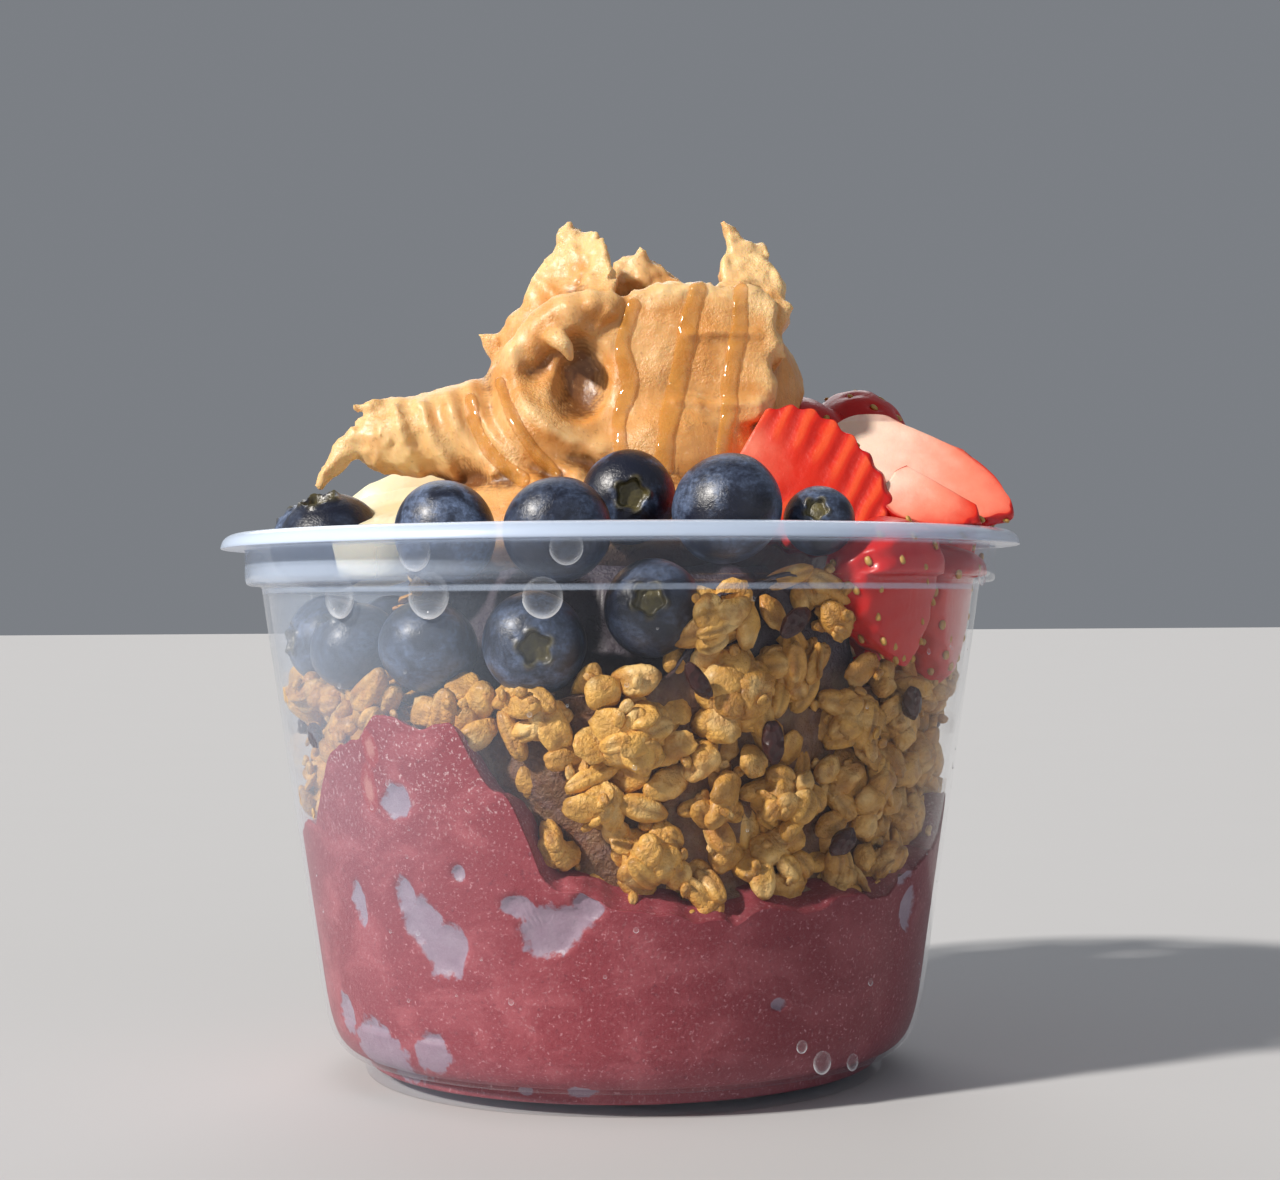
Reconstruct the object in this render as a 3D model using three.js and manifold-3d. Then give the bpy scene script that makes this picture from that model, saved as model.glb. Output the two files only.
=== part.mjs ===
// Acai bowl: a clear round tub that holds acai puree under granola, blueberries, strawberries
// and banana, with a mound of peanut butter and trickled honey on top.
// Millimetres, +Z up. The tub stands on Z = 0 around the Z axis, and its front faces -Y.
// Angles round the tub are in degrees, from the front (-Y) towards +X.

import * as THREE from 'three';
import { mergeVertices } from 'three/addons/utils/BufferGeometryUtils.js';
import Module from 'manifold-3d';

const wasm = await Module();
wasm.setup();

// ---------------------------------------------------------------- driving dimensions

const GAP = 0.3; // clear space kept between neighbouring pieces
const SIDES = 40; // facets round the tub
const FOOD_SIDES = 30; // facets round what fills it

const TUB = {
  height: 78.4, // stacking face of the rim
  rimRadius: 58.75, // outer edge of the flange
  rimThickness: 2.2,
  collarRadius: 55.25, // outside of the lid seat under the flange
  collarBottom: 70.85,
  wallAtZero: 42.7, // outer radius of the wall, carried down to Z = 0
  wallTaper: 0.144, // growth of that radius with height
  cornerTop: 9.6, // where the bottom corner meets the wall
  footRadius: 38.2,
  footHeight: 3.3,
  recess: 0.9, // underside of the floor inside the foot ring
  skin: 0.8, // thickness of the plastic
};

// Height of the puree where it meets the wall, at angles round the tub, and at its middle.
const PUREE_LEVEL = [
  [-92, 33], [-66, 38], [-50, 50], [-38, 53], [-27, 52], [-19, 43], [-9, 31], [2, 27.5], [48, 28.5],
  [70, 33], [88, 39], [112, 32], [150, 43], [178, 34], [222, 45], [248, 38],
];
const PUREE_MIDDLE = 38;

// Height of the granola where it meets the wall, and of the heap under the peanut butter.
const GRANOLA_LEVEL = [
  [-90, 56], [-50, 55.2], [-18, 55.4], [-4, 57], [8, 59.4], [17, 70], [26, 72], [38, 68], [47, 57],
  [85, 56], [125, 55], [160, 55.4], [200, 55.6], [238, 55.4],
];
const GRANOLA_MIDDLE = 76;
const GRANOLA_SHELF = 0.73; // share of the way to the wall where the heap steps up to its middle
const GRANOLA_SHY = 1.3; // how far the heap's core stays back from the wall
const KERNEL = { rows: 4, pitch: 16, long: 3.6, wide: 2.3, thick: 1.9 };

// Blueberries: centre, radius, and the way each crown points.
const BLUEBERRIES = [
  // seen above the rim, from the left round the front
  { at: [-40.3, -21, 76.7], r: 7.5, crown: [-0.25, -0.35, 1] },
  { at: [-22.9, -38.5, 77.4], r: 7.3, crown: [0.5, 0.6, 0.2] },
  { at: [-7.9, -44, 77.5], r: 7.2, crown: [-0.2, 0.8, 0.4] },
  { at: [1.2, -32, 82.4], r: 6.7, crown: [0.08, -1, 0.02] },
  { at: [14.1, -42.3, 80.2], r: 7.6, crown: [0.5, 0.7, -0.3] },
  { at: [26.5, -38.3, 78.8], r: 4.8, crown: [-0.15, -0.9, 0.35] },
  // against the wall under them
  { at: [-42.6, -8, 62.9], r: 6.7, crown: [-0.9, -0.42, 0.05] },
  { at: [-37, -22.6, 62.3], r: 6.5, crown: [-0.5, -0.3, 0.8] },
  { at: [-25.4, -35, 62.4], r: 6.9, crown: [0.2, 0.5, 0.8] },
  { at: [-11, -42.2, 63], r: 7.1, crown: [0.08, -1, -0.1] },
  { at: [4.4, -42.2, 67.3], r: 6.6, crown: [-0.1, -0.95, 0.2] },
  // round the back, on top
  { at: [-46, 3.8, 77.4], r: 7.2, crown: [-0.6, 0.1, 0.8] },
  { at: [-28.7, 36, 77.6], r: 7.4, crown: [-0.4, 0.8, 0.5] },
  { at: [-13.1, 44.1, 77.3], r: 6.9, crown: [0.1, 0.9, -0.2] },
  { at: [3.4, 45.6, 77.7], r: 7.5, crown: [0.3, 0.5, 0.9] },
  { at: [-17, 28.5, 84.4], r: 6.6, crown: [-0.2, 0.7, 0.7] },
  { at: [9.5, 31.5, 84.2], r: 6.8, crown: [0.1, 1, 0.1] },
  // round the back, against the wall
  { at: [-43, 7, 62.8], r: 6.8, crown: [-0.9, 0.3, -0.2] },
  { at: [-36.8, 22.6, 63.2], r: 7.0, crown: [-0.4, 0.6, 0.6] },
  { at: [-25.4, 35.2, 63], r: 6.7, crown: [-0.5, 0.8, 0.1] },
  { at: [-10.6, 42.2, 63.2], r: 7.1, crown: [0.3, 0.2, 0.9] },
  { at: [5, 43.2, 63.4], r: 6.8, crown: [0.1, 1, 0] },
  { at: [20, 38.4, 63.2], r: 7.0, crown: [0.6, 0.7, 0.3] },
];

// Strawberry pieces: middle, length, radius, the way the tip points, and the knife cuts, each
// as the outward direction of the cut face and its distance from the middle.
const STRAWBERRIES = [
  { at: [25.8, -22.4, 84.3], length: 30, r: 9.8, tip: [0.86, -0.1, -0.5],
    cuts: [[[-0.12, -0.93, 0.34], 2.6], [[0.12, 0.93, -0.34], 2.9], [[-0.86, 0.1, 0.5], 10]] },
  { at: [41.2, -10.4, 87.4], length: 31, r: 8.6, tip: [0.84, -0.3, -0.4],
    cuts: [[[-0.04, -0.8, 0.6], 0.3], [[0.05, 0.9, 0.2], 6.4], [[0.5, 0.2, 0.85], 6.8]] },
  { at: [42.6, -26.2, 82], length: 15.6, r: 5.4, tip: [0.8, -0.25, -0.5],
    cuts: [[[-0.05, -0.8, 0.6], 0.9], [[0.58, 0.1, 0.81], 2.8]] },
  { at: [35.8, -31.8, 70.4], length: 21, r: 9.4, tip: [0.35, -0.15, -0.88],
    cuts: [[[-0.7, 0.68, 0.1], 3.4]] },
  { at: [45.4, -16.4, 67.6], length: 20.4, r: 9.6, tip: [-0.12, 0.1, -0.95],
    cuts: [[[-0.9, 0.3, 0.2], 3.6]] },
  { at: [27.6, 5.2, 91.4], length: 18, r: 8.2, tip: [-0.5, 0.1, -0.85],
    cuts: [[[-0.6, -0.5, -0.6], 3]] },
  { at: [36.6, 10.4, 91], length: 22, r: 9, tip: [0.8, 0.3, -0.5],
    cuts: [[[0.2, 0.95, -0.2], 3]] },
  { at: [45.4, 3.8, 77.4], length: 20, r: 8.4, tip: [0.2, 0.9, -0.3],
    cuts: [[[-0.6, -0.1, -0.8], 3.5]] },
  { at: [27.4, 30, 84], length: 25, r: 10, tip: [-0.75, 0.5, -0.3],
    cuts: [[[0.2, 0.6, 0.8], 3]] },
  { at: [40.6, 20.4, 76.6], length: 21, r: 8.8, tip: [0.3, 0.5, -0.8],
    cuts: [[[-0.8, -0.3, 0.5], 3.2]] },
  { at: [36.4, 27.4, 64], length: 19, r: 8.8, tip: [-0.5, 0.7, -0.4],
    cuts: [[[-0.7, -0.6, 0.2], 3]] },
];

// Banana slices: middle, radius, thickness, and the way the flat faces point.
const BANANAS = [
  { at: [-31.4, -21, 78.4], r: 11, thick: 6.5, face: [-0.2, -0.33, 0.92] },
  { at: [-34.6, 20.6, 80.4], r: 13, thick: 7, face: [-0.45, 0.35, 0.82] },
  { at: [18.6, 38.4, 79.4], r: 10.4, thick: 7, face: [0.25, 0.75, 0.6] },
];

// Peanut butter: round lobes (centre, half sizes, turn about Y in degrees) ...
const BUTTER_LOBES = [
  { at: [0, 1, 77], half: [34, 31, 13], turn: [0, 0, 0], around: 14, up: 6 },
  { at: [7, 0, 88], half: [20, 22, 15], turn: [0, 0, 0], around: 12, up: 7 },
  { at: [-9, -1, 91], half: [17, 19, 14.6], turn: [0, -16, 0], around: 12, up: 8 },
  { at: [13.6, 1, 97.6], half: [13.6, 16.5, 16], turn: [0, 6, 0], around: 12, up: 8 },
  { at: [2, 8, 105], half: [10, 7.4, 13], turn: [0, 12, 0], around: 9, up: 7 },
];
// ... sheets that the spoon folded and tore: the outline seen from the front as [x, z], a point
// on the sheet's middle, its lean in y for each step in x and z, and half its thickness at the
// foot and at the top ...
const BUTTER_PLATES = [
  { outline: [[-6, 93], [-7, 101], [-4.6, 107], [-2, 110.4], [2, 112.6], [6, 113.8], [10.5, 114.2],
    [12.4, 113.6], [16, 113.8], [20, 113.2], [22.4, 110.6], [22.6, 107], [23.8, 104.6], [22, 102],
    [22.8, 99], [21.6, 95], [18, 93.2], [9, 92.6]],
  at: [9, -7.4, 103], lean: [0.02, 0.06], half: [10.4, 8.4] },
  { outline: [[-12, 95], [-18.4, 101], [-18.2, 103.8], [-17.4, 106], [-19.6, 107.8],
    [-16.8, 108.7], [-14.8, 111.3], [-11.2, 117.7], [-9, 121.4], [-7.4, 124.4], [-5.6, 122.6],
    [-3.1, 122.2], [-2.2, 120.4], [-1.2, 118.2], [-0.4, 114], [-0.6, 110], [-4, 105], [-7, 98]],
  at: [-1, -13, 112], lean: [-0.7, 0.36], half: [4.2, 1.1] },
  { outline: [[-5, 104], [-2.4, 115], [-0.6, 118.4], [0.9, 119.8], [2.7, 120.5], [3.2, 122],
    [3.9, 120.6], [6.5, 119], [9, 117.2], [10.8, 115.2], [12.5, 110], [8, 104]],
  at: [3, 3.4, 112], lean: [-0.12, 0.1], half: [4.4, 1.9] },
  { outline: [[12, 108], [13.4, 112.4], [14.9, 114.8], [15.5, 118], [15.6, 121], [15.5, 123.8],
    [16.8, 122.8], [18.2, 121.2], [19.6, 120.4], [21.4, 120.6], [21.8, 118.2], [24.2, 114.4],
    [25, 109], [22, 104]],
  at: [19, -8, 112], lean: [0.16, 0.34], half: [5.4, 1] },
];
// ... pulled strands and lips (points with a radius at each), the last of them in a hollow ...
const BUTTER_STRANDS = [
  [[-10, -6, 91, 9.4], [-20, -8, 92.6, 7.8], [-27, -8.4, 92.8, 5.9], [-33, -9, 92, 4.9],
    [-37, -9.6, 92, 2.6], [-40.4, -10.4, 89.4, 1.5], [-43.6, -11, 85.2, 0.6]],
  [[-31, -9, 96, 2], [-35.4, -10.5, 96.4, 1.1], [-38, -11, 96.8, 0.3]],
  [[-14.6, -11, 97, 2.6], [-13.6, -12.6, 102.4, 3], [-10.4, -14, 107, 3.2], [-5.6, -15, 109.4, 3],
    [-1.6, -15.4, 110, 2.2]],
  [[-9.6, -15.4, 106.6, 1.8], [-8.8, -18, 105.4, 1.5], [-7.4, -18.8, 104.2, 1],
    [-6.8, -18.6, 102.6, 0.5]],
];
// ... and the hollows that the spoon left (centre, half sizes).
const BUTTER_HOLLOWS = [
  { at: [-5.4, -22.6, 100.4], half: [5.8, 9.4, 7.6] },
  { at: [9, -41, 101], half: [15.6, 23.6, 13.4] },
  { at: [7.6, -4.4, 117.6], half: [4.4, 6, 4.6] },
];

// Honey: each trickle as points across and up the front of the mound, and its half width.
const HONEY = [
  { half: 1, path: [[2.2, 110.6], [0.6, 104.6], [1.6, 99], [0, 93.4], [0.6, 88]] },
  { half: 1.15, path: [[11.4, 113], [9.8, 106.6], [8.6, 99.6], [6.8, 92.6], [6.2, 87]] },
  { half: 1.05, path: [[17.4, 113], [17.2, 107], [15.8, 100], [15.4, 94], [14.6, 88]] },
  { half: 0.85, path: [[-21.2, 97.4], [-20.4, 93.4], [-17.6, 88.8], [-13.4, 85.4]] },
  { half: 0.75, path: [[-17, 99.6], [-14.8, 94], [-12, 89.6], [-8.8, 86.2]] },
];
const HONEY_STEPS = 5;

const COLOURS = {
  tub: 0xe8ecf2, puree: 0x7a2a3c, granola: 0xb9894a, butter: 0xc98a4e, blueberry: 0x1f2a45,
  strawberry: 0xc92a1c, banana: 0xf0e6c8,
};

// ---------------------------------------------------------------- solids from geometry

const UP = new THREE.Vector3(0, 1, 0);
const vector = (values) => new THREE.Vector3(...values);
const unit = (values) => vector(values).normalize();

// One closed body with shared vertices and outward faces, from any closed geometry.
function solidOf(geometry) {
  const bare = new THREE.BufferGeometry();
  bare.setAttribute('position', geometry.getAttribute('position').clone());
  if (geometry.index) bare.setIndex(geometry.index.clone());
  const merged = mergeVertices(bare, 1e-4);
  const points = merged.getAttribute('position');
  const at = (i) => new THREE.Vector3().fromBufferAttribute(points, i);
  const faces = [];
  let volume = 0;
  for (let i = 0; i < merged.index.count; i += 3) {
    const [a, b, c] = [0, 1, 2].map((k) => merged.index.getX(i + k));
    if (a === b || b === c || c === a) continue;
    faces.push([a, b, c]);
    volume += at(a).dot(at(b).cross(at(c)));
  }
  const outward = volume > 0 ? faces : faces.map(([a, b, c]) => [a, c, b]);
  return new wasm.Manifold(new wasm.Mesh({
    numProp: 3,
    vertProperties: Float32Array.from(points.array),
    triVerts: Uint32Array.from(outward.flat()),
  }));
}

function geometryOf(solid) {
  const mesh = solid.getMesh();
  const geometry = new THREE.BufferGeometry();
  geometry.setAttribute('position', new THREE.BufferAttribute(mesh.vertProperties, 3));
  geometry.setIndex(new THREE.BufferAttribute(mesh.triVerts, 1));
  return geometry;
}

const joined = (solids) => solids.reduce((all, solid) => all.add(solid));
const without = (solid, others) => others.reduce((rest, other) => rest.subtract(other), solid);

// The largest closed part of a solid; crumbs that a cut leaves are dropped.
function largest(solid) {
  return solid.decompose().sort((a, b) => b.volume() - a.volume())[0];
}

// A random number from 0 to 1 that is the same in every run.
let seed = 20240611;
function chance() {
  seed = (Math.imul(seed, 1664525) + 1013904223) >>> 0;
  return seed / 4294967296;
}
const between = (low, high) => low + (high - low) * chance();

// ---------------------------------------------------------------- shared forms

// A value round the tub from [angle, value] pairs, eased from each pair to the next.
function around(pairs, degrees) {
  const turn = ((degrees - pairs[0][0]) % 360 + 360) % 360 + pairs[0][0];
  const next = pairs.findIndex(([angle]) => angle > turn);
  const [a0, v0] = pairs[next < 0 ? pairs.length - 1 : next - 1];
  const [a1, v1] = next < 0 ? [pairs[0][0] + 360, pairs[0][1]] : pairs[next];
  const ease = (1 - Math.cos((Math.PI * (turn - a0)) / (a1 - a0))) / 2;
  return v0 + (v1 - v0) * ease;
}

function latheOf(profile, sides = SIDES) {
  const points = profile.map(([r, z]) => new THREE.Vector2(r, z));
  return new THREE.LatheGeometry(points, sides).rotateX(Math.PI / 2);
}

// A closed skin of rings round Z: place(ring, degrees) gives each ring's radius and height.
function ringed(rings, place) {
  const points = Array.from({ length: rings }, (_, j) => new THREE.Vector2(1, j));
  const geometry = new THREE.LatheGeometry(points, FOOD_SIDES);
  const positions = geometry.getAttribute('position');
  for (let i = 0; i < positions.count; i += 1) {
    const degrees = (Math.floor(i / rings) % FOOD_SIDES) * (360 / FOOD_SIDES);
    const [r, z] = place(i % rings, degrees);
    const a = THREE.MathUtils.degToRad(degrees);
    positions.setXYZ(i, r * Math.sin(a), -r * Math.cos(a), z);
  }
  return solidOf(geometry);
}

function ellipsoid({ at, half, turn = [0, 0, 0], around: sides = 12, up = 8 }) {
  const geometry = new THREE.SphereGeometry(1, sides, up).rotateX(Math.PI / 2).scale(...half);
  const euler = new THREE.Euler(...turn.map(THREE.MathUtils.degToRad));
  geometry.applyMatrix4(new THREE.Matrix4().makeRotationFromEuler(euler));
  return solidOf(geometry.translate(...at));
}

// A tapering strand: a lathed spindle bent along a curve through points of [x, y, z, radius].
function strand(stations, sides, steps) {
  const curve = new THREE.CatmullRomCurve3(stations.map(([x, y, z]) => new THREE.Vector3(x, y, z)));
  const widths = new THREE.SplineCurve(stations.map((s, i) => new THREE.Vector2(i, s[3])));
  const profile = [new THREE.Vector2(0, 0)];
  for (let i = 0; i <= steps; i += 1) {
    const t = i / steps;
    profile.push(new THREE.Vector2(Math.max(widths.getPoint(t).y, 0.15), t));
  }
  profile.push(new THREE.Vector2(0, 1));
  const geometry = new THREE.LatheGeometry(profile, sides);
  const positions = geometry.getAttribute('position');
  for (let i = 0; i < positions.count; i += 1) {
    const [x, t, z] = [positions.getX(i), positions.getY(i), positions.getZ(i)];
    const along = curve.getTangent(t);
    const side = new THREE.Vector3(0, 1, 0.2).cross(along).normalize();
    const lift = along.clone().cross(side);
    const point = curve.getPoint(t).addScaledVector(side, x).addScaledVector(lift, z);
    positions.setXYZ(i, ...point.toArray());
  }
  return solidOf(geometry);
}

// ---------------------------------------------------------------- tub

const wallRadius = (z) => TUB.wallAtZero + TUB.wallTaper * z;

// The inner face of the tub from the middle of its floor to its rim, moved inwards by clear.
function innerProfile(clear) {
  const t = TUB.skin + clear;
  const ledge = TUB.collarBottom + t;
  return [
    [0, TUB.recess + t],
    [TUB.footRadius - t, TUB.recess + t],
    [TUB.footRadius + 0.2 - t, TUB.footHeight + t],
    [40.9 - t / 2, 3.5 + t],
    [42.6 - t * 0.8, 5.4 + t * 0.6],
    [wallRadius(TUB.cornerTop) - t, TUB.cornerTop + t / 2],
    [wallRadius(ledge) - t, ledge],
    [TUB.collarRadius - t, ledge],
    [TUB.collarRadius - t, TUB.height - 0.7],
  ];
}

function tub() {
  const outer = [
    [0, TUB.recess],
    [TUB.footRadius - 3.4, TUB.recess],
    [TUB.footRadius - 2.6, 0],
    [TUB.footRadius - 0.3, 0],
    [TUB.footRadius + 0.2, TUB.footHeight],
    [40.9, 3.5],
    [42.6, 5.4],
    [wallRadius(TUB.cornerTop), TUB.cornerTop],
    [wallRadius(TUB.collarBottom), TUB.collarBottom],
    [TUB.collarRadius - 0.9, TUB.collarBottom],
    [TUB.collarRadius, TUB.collarBottom + 1],
    [TUB.collarRadius, TUB.height - TUB.rimThickness],
    [TUB.rimRadius, TUB.height - TUB.rimThickness + 0.2],
    [TUB.rimRadius - 1.2, TUB.height],
    [TUB.collarRadius - TUB.skin + 0.6, TUB.height],
  ];
  return solidOf(latheOf([...outer, ...innerProfile(0).reverse()]));
}

// All the space that the food may take: the inside of the tub, and the room above its rim.
function room() {
  const top = 140;
  return solidOf(latheOf([
    ...innerProfile(GAP),
    [TUB.collarRadius - TUB.skin - GAP, TUB.height + GAP],
    [TUB.rimRadius - 0.1, TUB.height + GAP],
    [TUB.rimRadius - 0.1, top],
    [0, top],
  ]));
}

// ---------------------------------------------------------------- puree and granola

const innerRadius = (z) => wallRadius(z) - TUB.skin - GAP;

const PUREE_SHARES = [0, 0.25, 0.5, 0.8, 1];

// Height of the puree at a share of the way from the middle to the wall.
function pureeTop(share, degrees) {
  const wave = 1.1 * Math.sin(share * 9 + THREE.MathUtils.degToRad(3 * degrees));
  const level = around(PUREE_LEVEL, degrees);
  return PUREE_MIDDLE + (level - PUREE_MIDDLE) * share ** 2 + wave * share * (1 - share) * 4;
}

function puree(grow = 0) {
  const foot = innerProfile(GAP - grow).slice(0, 6);
  const inwards = [...PUREE_SHARES].reverse();
  return ringed(foot.length + 1 + inwards.length, (ring, degrees) => {
    const level = pureeTop(1, degrees);
    if (ring < foot.length) return foot[ring];
    if (ring === foot.length) {
      const half = (TUB.cornerTop + level) / 2;
      return [innerRadius(half) + grow, half];
    }
    const share = inwards[ring - foot.length - 1];
    return [share * (innerRadius(level) + grow), pureeTop(share, degrees) + grow];
  });
}

// The granola heap without its loose kernels, from the puree up to the toppings.
function granolaCore(grow = 0) {
  const under = PUREE_SHARES;
  const over = [1, GRANOLA_SHELF, GRANOLA_SHELF - 0.13, 0];
  return ringed(under.length + 1 + over.length, (ring, degrees) => {
    const low = pureeTop(1, degrees);
    const high = around(GRANOLA_LEVEL, degrees);
    const edge = (z) => innerRadius(z) - GRANOLA_SHY + grow;
    if (ring < under.length) {
      const share = Math.min(under[ring], edge(low) / innerRadius(low));
      const inner = under[under.length - 2];
      const start = pureeTop(inner, degrees);
      const slope = (low - start) / (1 - inner);
      const z = ring < under.length - 1 ? pureeTop(share, degrees) : start + slope * (share - inner);
      return [share * innerRadius(low), z + 2 * GAP - grow];
    }
    if (ring === under.length) return [edge((low + high) / 2), (low + high) / 2];
    const share = over[ring - under.length - 1];
    const rise = share >= GRANOLA_SHELF ? high : GRANOLA_MIDDLE - 5 * share;
    return [share * edge(high), rise + grow];
  });
}

// One kernel or flake: a jittered many-sided pebble, its length lying along the heap.
function kernel(at, outward) {
  const geometry = mergeVertices(new THREE.IcosahedronGeometry(1, 0).deleteAttribute('uv')
    .deleteAttribute('normal'));
  const positions = geometry.getAttribute('position');
  for (let i = 0; i < positions.count; i += 1) {
    const swell = between(0.86, 1.12);
    positions.setXYZ(i, positions.getX(i) * swell, positions.getY(i) * swell, positions.getZ(i) * swell);
  }
  const size = between(0.8, 1.15);
  geometry.scale(KERNEL.long * size, KERNEL.wide * size, KERNEL.thick * size);
  geometry.rotateZ(between(0, Math.PI));
  const turn = new THREE.Quaternion().setFromUnitVectors(new THREE.Vector3(0, 0, 1), outward);
  return solidOf(geometry.applyQuaternion(turn).translate(...at.toArray()));
}

// Kernels on the outside of the heap, in staggered rows that follow its lower and upper edge.
function wallKernels() {
  const kernels = [];
  const count = Math.round((2 * Math.PI * innerRadius(50)) / KERNEL.pitch);
  for (let row = 0; row < KERNEL.rows; row += 1) {
    for (let i = 0; i < count; i += 1) {
      const degrees = ((i + (row % 2) / 2 + between(-0.22, 0.22)) * 360) / count;
      const low = pureeTop(1, degrees) + 2.2;
      const high = around(GRANOLA_LEVEL, degrees) - 1.4;
      const z = low + ((high - low) * (row + 0.5 + between(-0.3, 0.3))) / KERNEL.rows;
      const fits = (high - low) / KERNEL.rows > 3.1 || row % 2 === 0;
      if (!fits || high - low < 3) continue;
      const a = THREE.MathUtils.degToRad(degrees);
      const outward = new THREE.Vector3(Math.sin(a), -Math.cos(a), 0);
      const r = innerRadius(z) - GRANOLA_SHY - between(0.1, 0.8);
      kernels.push(kernel(outward.clone().multiplyScalar(r).setZ(z), outward));
    }
  }
  return kernels;
}

// ---------------------------------------------------------------- fruit

// A berry lathed about its own axis, with the sunken crown at its far end.
function blueberry({ at, r, crown }) {
  const flat = 0.9;
  const latitudes = [-90, -52, -18, 18, 50];
  const profile = latitudes.map((latitude) => {
    const a = THREE.MathUtils.degToRad(latitude);
    return new THREE.Vector2(r * Math.cos(a), r * flat * Math.sin(a));
  });
  profile[0].x = 0;
  profile.push(new THREE.Vector2(r * 0.3, r * flat * 0.98), new THREE.Vector2(0, r * flat * 0.78));
  const geometry = new THREE.LatheGeometry(profile, 9);
  geometry.applyQuaternion(new THREE.Quaternion().setFromUnitVectors(UP, unit(crown)));
  return solidOf(geometry.translate(...at));
}

// Radius of a strawberry as a share of its widest, from the leaf end (0) to the tip (1).
const strawberryShape = (t) => Math.sin(Math.PI * t ** 0.66) ** 0.72;

function strawberry({ at, length, r, tip, cuts }, grow = 0) {
  const rings = 6;
  const profile = [];
  for (let i = 0; i <= rings; i += 1) {
    const t = i / rings;
    const radius = i === 0 || i === rings ? 0 : (r + grow) * strawberryShape(t);
    profile.push(new THREE.Vector2(radius, (t - 0.42) * (length + 2 * grow)));
  }
  const geometry = new THREE.LatheGeometry(profile, 10);
  geometry.applyQuaternion(new THREE.Quaternion().setFromUnitVectors(UP, unit(tip)));
  const whole = solidOf(geometry.translate(...at));
  return without(whole, cuts.map(([direction, distance]) => {
    const block = new THREE.BoxGeometry(80, 80, 80).translate(0, 40 + distance + grow, 0);
    block.applyQuaternion(new THREE.Quaternion().setFromUnitVectors(UP, unit(direction)));
    return solidOf(block.translate(...at));
  }));
}

function bananaSlice({ at, r, thick, face }, grow = 0) {
  const [half, edge] = [thick / 2 + grow, 1.1];
  const profile = [
    [0, -half], [r + grow - edge, -half], [r + grow, edge - half], [r + grow, half - edge],
    [r + grow - edge, half], [0, half],
  ].map(([x, y]) => new THREE.Vector2(x, y));
  const geometry = new THREE.LatheGeometry(profile, 14);
  geometry.applyQuaternion(new THREE.Quaternion().setFromUnitVectors(UP, unit(face)));
  return solidOf(geometry.translate(...at));
}

// ---------------------------------------------------------------- peanut butter and honey

// A leaning sheet: its outline has one copy on each face, and the faces close up to the top.
function plate({ outline, at, lean, half }) {
  const shape = new THREE.Shape(outline.map(([x, z]) => new THREE.Vector2(x, z)));
  const geometry = new THREE.ExtrudeGeometry(shape, { depth: 1, bevelEnabled: false });
  const heights = outline.map(([, z]) => z);
  const [low, high] = [Math.min(...heights), Math.max(...heights)];
  const positions = geometry.getAttribute('position');
  for (let i = 0; i < positions.count; i += 1) {
    const [x, z, face] = [positions.getX(i), positions.getY(i), positions.getZ(i)];
    const middle = at[1] + lean[0] * (x - at[0]) + lean[1] * (z - at[2]);
    const thick = THREE.MathUtils.mapLinear(z, low, high, ...half) * Math.hypot(1, ...lean);
    positions.setXYZ(i, x, middle + (face > 0.5 ? thick : -thick), z);
  }
  return solidOf(geometry);
}

function butterMound() {
  const lobes = [...BUTTER_LOBES.map(ellipsoid), ...BUTTER_PLATES.map(plate)];
  const strands = BUTTER_STRANDS.map((stations) => {
    const long = stations.length > 4;
    return strand(stations, long ? 8 : 6, long ? 2 * stations.length - 2 : stations.length + 1);
  });
  const hollows = BUTTER_HOLLOWS.map((hollow) => ellipsoid({ ...hollow, around: 10, up: 7 }));
  const curl = strands.pop();
  return without(joined([...lobes, ...strands]), hollows).add(curl);
}

// Honey lies on the front of the mound: a ray from the front finds the surface under it.
function honeyOn(mound) {
  const target = new THREE.Mesh(geometryOf(mound), new THREE.MeshBasicMaterial({ side: THREE.DoubleSide }));
  target.updateMatrixWorld();
  const ray = new THREE.Raycaster();
  return HONEY.map(({ half, path }) => {
    const line = new THREE.SplineCurve(path.map(([x, z]) => new THREE.Vector2(x, z)));
    const stations = [];
    for (let i = 0; i <= HONEY_STEPS; i += 1) {
      const { x, y: z } = line.getPoint(i / HONEY_STEPS);
      ray.set(new THREE.Vector3(x, -90, z), new THREE.Vector3(0, 1, 0));
      const [hit] = ray.intersectObject(target);
      if (hit) stations.push([x, hit.point.y + half * 0.25, z, half]);
    }
    return strand(stations, 5, stations.length);
  });
}

// ---------------------------------------------------------------- fitting the pieces together

const space = room();
const berriesGrown = BLUEBERRIES.map(({ at, r }) => {
  const clear = (r + GAP) * 1.12;
  return ellipsoid({ at, half: [clear, clear, clear], around: 8, up: 4 });
});

const strawberries = [];
const fruitGrown = [...berriesGrown];
STRAWBERRIES.forEach((piece) => {
  strawberries.push(largest(without(strawberry(piece), fruitGrown).intersect(space)));
  fruitGrown.push(strawberry(piece, GAP));
});

const bananas = BANANAS.map((slice) => {
  const solid = largest(without(bananaSlice(slice), fruitGrown).intersect(space));
  fruitGrown.push(bananaSlice(slice, GAP));
  return solid;
});

const coreGrown = granolaCore(GAP + 0.1);
const mound = butterMound();
const butter = largest(without(joined([mound, ...honeyOn(mound)]), [...fruitGrown, coreGrown]));

const heap = joined([granolaCore(), ...wallKernels().map((piece) => piece.intersect(space))]);
const granola = largest(without(heap, [puree(GAP), ...fruitGrown]));

// ---------------------------------------------------------------- scene graph

const group = new THREE.Group();

function addPiece(name, solid, colour, roughness) {
  const material = new THREE.MeshStandardMaterial({ color: colour, roughness, metalness: 0 });
  const mesh = new THREE.Mesh(geometryOf(solid), material);
  mesh.name = name;
  group.add(mesh);
}

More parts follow.
